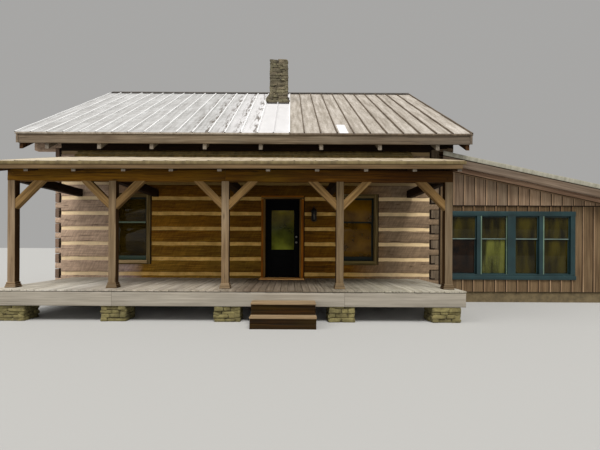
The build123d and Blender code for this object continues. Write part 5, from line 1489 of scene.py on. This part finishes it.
def wing_window(group, axis, outer, inw):
    a0, a1, z0, z1 = group

    def bar(B, p0, p1, d0, d1, q0, q1, run, **kw):
        d0, d1 = sorted((outer + d0 * inw, outer + d1 * inw))
        if axis == "x":
            beam(B, p0, p1, d0, d1, q0, q1, "z" if run == "z" else "x", rng, **kw)
        else:
            beam(B, d0, d1, p0, p1, q0, q1, "z" if run == "z" else "y", rng, **kw)
    E = (0.0, 0.155, 0.80, 0.925, 1.61, 1.82, 2.441, 2.565, 3.27, 3.39)
    hh, sh = 0.122, 0.140
    bar(WF, a0 - 0.004, a1 + 0.004, -0.040, AT, z1 - hh, z1 + 0.004, "h", r=0.004)
    bar(WF, a0 - 0.012, a1 + 0.012, -0.052, AT, z0 - 0.004, z0 + sh - 0.035, "h", r=0.006)
    bar(WF, a0 + 0.004, a1 - 0.004, -0.034, AT, z0 + sh - 0.036, z0 + sh, "h", r=0.006)
    for i in range(0, 10, 2):
        bar(WF, a0 + E[i], a0 + E[i + 1], -0.036, AT, z0 + sh - 0.01, z1 - hh + 0.01, "z", r=0.004)
    zb, zt, mz = z0 + sh, z1 - hh, 1.672
    # pale stop beads at the right of the narrow mullions
    for i in (2, 6):
        bar(WS, a0 + E[i + 1] - 0.026, a0 + E[i + 1] + 0.002, -0.040, 0.02, zb, zt, "z", r=0.003, mat=1)
    bar(WS, a0 + E[3 + 1] - 0.022, a0 + E[4], -0.006, 0.02, zb, zt, "z", r=0.002, mat=1)
    for i in range(1, 9, 2):
        lo, hi = a0 + E[i], a0 + E[i + 1]
        for q0, q1, d0, d1 in ((mz - 0.012, zt, 0.018, 0.044), (zb, mz + 0.016, 0.046, 0.072)):
            bar(WS, lo, lo + 0.024, d0, d1, q0, q1, "z", r=0.003)
            bar(WS, hi - 0.024, hi, d0, d1, q0, q1, "z", r=0.003)
            bar(WS, lo + 0.022, hi - 0.022, d0 + 0.001, d1 - 0.001, q0, q0 + 0.024, "h", r=0.003, mat=2 if q0 > zb else 0)
            bar(WS, lo + 0.022, hi - 0.022, d0 + 0.001, d1 - 0.001, q1 - 0.028, q1, "h", r=0.003)
            # painted reflection: the first two lower panes take the dark and the green glass
            bar(WGL, lo + 0.022, hi - 0.022, (d0 + d1) / 2 - 0.003, (d0 + d1) / 2 + 0.003, q0 + 0.02, q1 - 0.02, "h", r=0.001, step=1, ustep=5,
                mat={1: 1, 3: 2}.get(i, 0) if q0 == zb else 0)


wing_window(WG, "x", AY0, 1)
wing_window(WG, "x", AY1, -1)
wing_window(EG, "y", AX1, -1)
WF.make("wing_window_frame_bars", [teal_mat], "teal_paint", replaces=("wing_window_frames",))
WS.make("wing_sash_bars", [teal_mat, sash_edge, rail_mat], "teal_paint", replaces=("wing_meeting_rails",))
WGL.make("wing_panes", [wing_glass_mat, wing_glass_dark_reflection, wing_glass_green_reflection], "window_glass", replaces=("wing_glass",))

B = Build()
wsl = np.array([1, 0, -ASL]) / math.hypot(1, ASL)
wnr = np.array([ASL, 0, 1]) / math.hypot(1, ASL)
we = [-0.27 + 0.016] + [-0.27 + 6.70 * i / 16 for i in range(1, 16)] + [6.43 - 0.016]
sheet_roof(B, (-0.27, 6.43), we, lambda y, s: (np.array([HALF, y, ATOP]) + wsl * s, wnr), (AEX - HALF) * math.hypot(1, ASL), 12, rng, seam_h=0.014, t=0.034)
for f in B.f:
    f.reverse()
B.make("wing_roof_sheet", [wing_metal, batten_mat], "wing_metal", replaces=("wing_roof",))


def sloped_x(B, xa, xb, y0, y1, top_z, depth, rng, **kw):
    q = math.hypot(1, ASL)
    d = np.array([1, 0, -ASL]) / q
    t = np.array([ASL, 0, 1]) / q
    L = (xb - xa) * q
    org = np.array([xa, (y0 + y1) / 2, top_z - depth / 2])
    sweep(B, org, d, (0, 1, 0), t, L, y1 - y0, depth / q, rng, cut0=(0, -ASL), cut1=(0, -ASL), **kw)


B = Build()
xa, xb = HALF + 0.003, AEX - 0.042
for y0, y1, m0 in ((-0.27, -0.235, -1), (6.395, 6.43, 1)):
    sloped_x(B, xa, xb, y0, y1, wunder(xa) - 0.001, 0.279, rng, r=0.004, step=0.05, amp=0.0015)
    # folded metal over the rake
    yy = sorted((y0 + m0 * 0.012, y0 + m0 * 0.002)) if m0 < 0 else sorted((y1 + 0.002, y1 + 0.012))
    sloped_x(B, xa, AEX, yy[0], yy[1], wtop(xa) + 0.004, 0.106, rng, r=0.003, step=0.03, amp=0.001, mat=1)
    # dark line under the metal
    yd = sorted((y0 + m0 * 0.006, y0 + m0 * 0.001)) if m0 < 0 else sorted((y1 + 0.001, y1 + 0.006))
    sloped_x(B, xa, AEX - 0.01, yd[0], yd[1], wtop(xa) - 0.100, 0.016, rng, r=0.001, mat=4)
beam(B, AEX - 0.04, AEX - 0.002, -0.268, 6.428, wunder(AEX) - 0.19, wunder(AEX) - 0.002, "y", rng, r=0.004, step=0.05, amp=0.0015)
for y0, y1, yi0, yi1 in ((AY0 - 0.066, AY0 - 0.012, AY0 - 0.056, AY0 - 0.013), (AY1 + 0.012, AY1 + 0.066, AY1 + 0.013, AY1 + 0.056)):
    sloped_x(B, HALF + 0.004, AX1 + 0.02, y0, y1, wtop(HALF) - 0.235, 0.150, rng, r=0.004, mat=3)
    # small moulding under the frieze
    sloped_x(B, HALF + 0.004, AX1 + 0.02, yi0, yi1, wtop(HALF) - 0.386, 0.016, rng, r=0.002, mat=4)
    sloped_x(B, HALF + 0.004, AX1 + 0.02, yi0, yi1, wtop(HALF) - 0.403, 0.022, rng, r=0.003, mat=5)
# soffit boards between the rake and the wall
for y0, y1 in ((-0.236, AY0 - 0.001), (AY1 + 0.001, 6.394)):
    sloped_x(B, xa, xb, y0, y1, wunder(xa) - 0.10, 0.02, rng, r=0.002, mat=2)
B.make("wing_trim_boards", [rake_mat, wing_metal, rafter_mat, frieze_mat, shade_mat, batten_line], "fascia_wood", replaces=("wing_roof_trim",))


# =============================================================================
# materials of the CAD pieces that stay
# =============================================================================
def paint(node, mat):
    nodes[node].data.materials.clear()
    nodes[node].data.materials.append(mat)


for n, m in (("cabin_floor", floor_mat), ("wing_floor", floor_mat), ("ridge_board", rafter_mat), ("inner_door_frame", trim_mat),
             ("wing_foundation", concrete_mat), ("wing_rafters", rafter_mat)):
    paint(n, m)

# =============================================================================
# studio
# =============================================================================
def studio():
    me = bpy.data.meshes.new("studio_floor")
    s = 160.0
    me.from_pydata([(-s, -s, 0), (s, -s, 0), (s, s, 0), (-s, s, 0)], [], [(0, 1, 2, 3)])
    ob = bpy.data.objects.new("studio_floor", me)
    bpy.context.scene.collection.objects.link(ob)
    m, nt, b = new_mat("studio_floor")
    b.inputs["Base Color"].default_value = (0.40, 0.40, 0.39, 1)
    b.inputs["Roughness"].default_value = 0.95
    me.materials.append(m)
    w = bpy.data.worlds.new("world")
    bpy.context.scene.world = w
    w.use_nodes = True
    bg = next(n for n in w.node_tree.nodes if n.type == "BACKGROUND")
    bg.inputs[0].default_value = (0.92, 0.91, 0.89, 1)
    bg.inputs[1].default_value = 0.42
    for nm, e, ang, c, way in (("key", 3.02, 28, (1.0, 0.98, 0.95), (0.10, -0.52, 0.85)), ("fill", 0.50, 45, (1.0, 0.95, 0.88), (-0.25, -1.0, 0.40)),
                               ("side", 1.1, 40, (1.0, 0.98, 0.96), (-0.80, -0.30, 0.72))):
        sun = bpy.data.lights.new(nm, "SUN")
        sun.energy = e
        sun.angle = math.radians(ang)
        sun.color = c
        so = bpy.data.objects.new(nm, sun)
        bpy.context.scene.collection.objects.link(so)
        so.rotation_euler = Vector(way).to_track_quat("Z", "Y").to_euler()
    bpy.context.scene.view_settings.view_transform = "Standard"


studio()
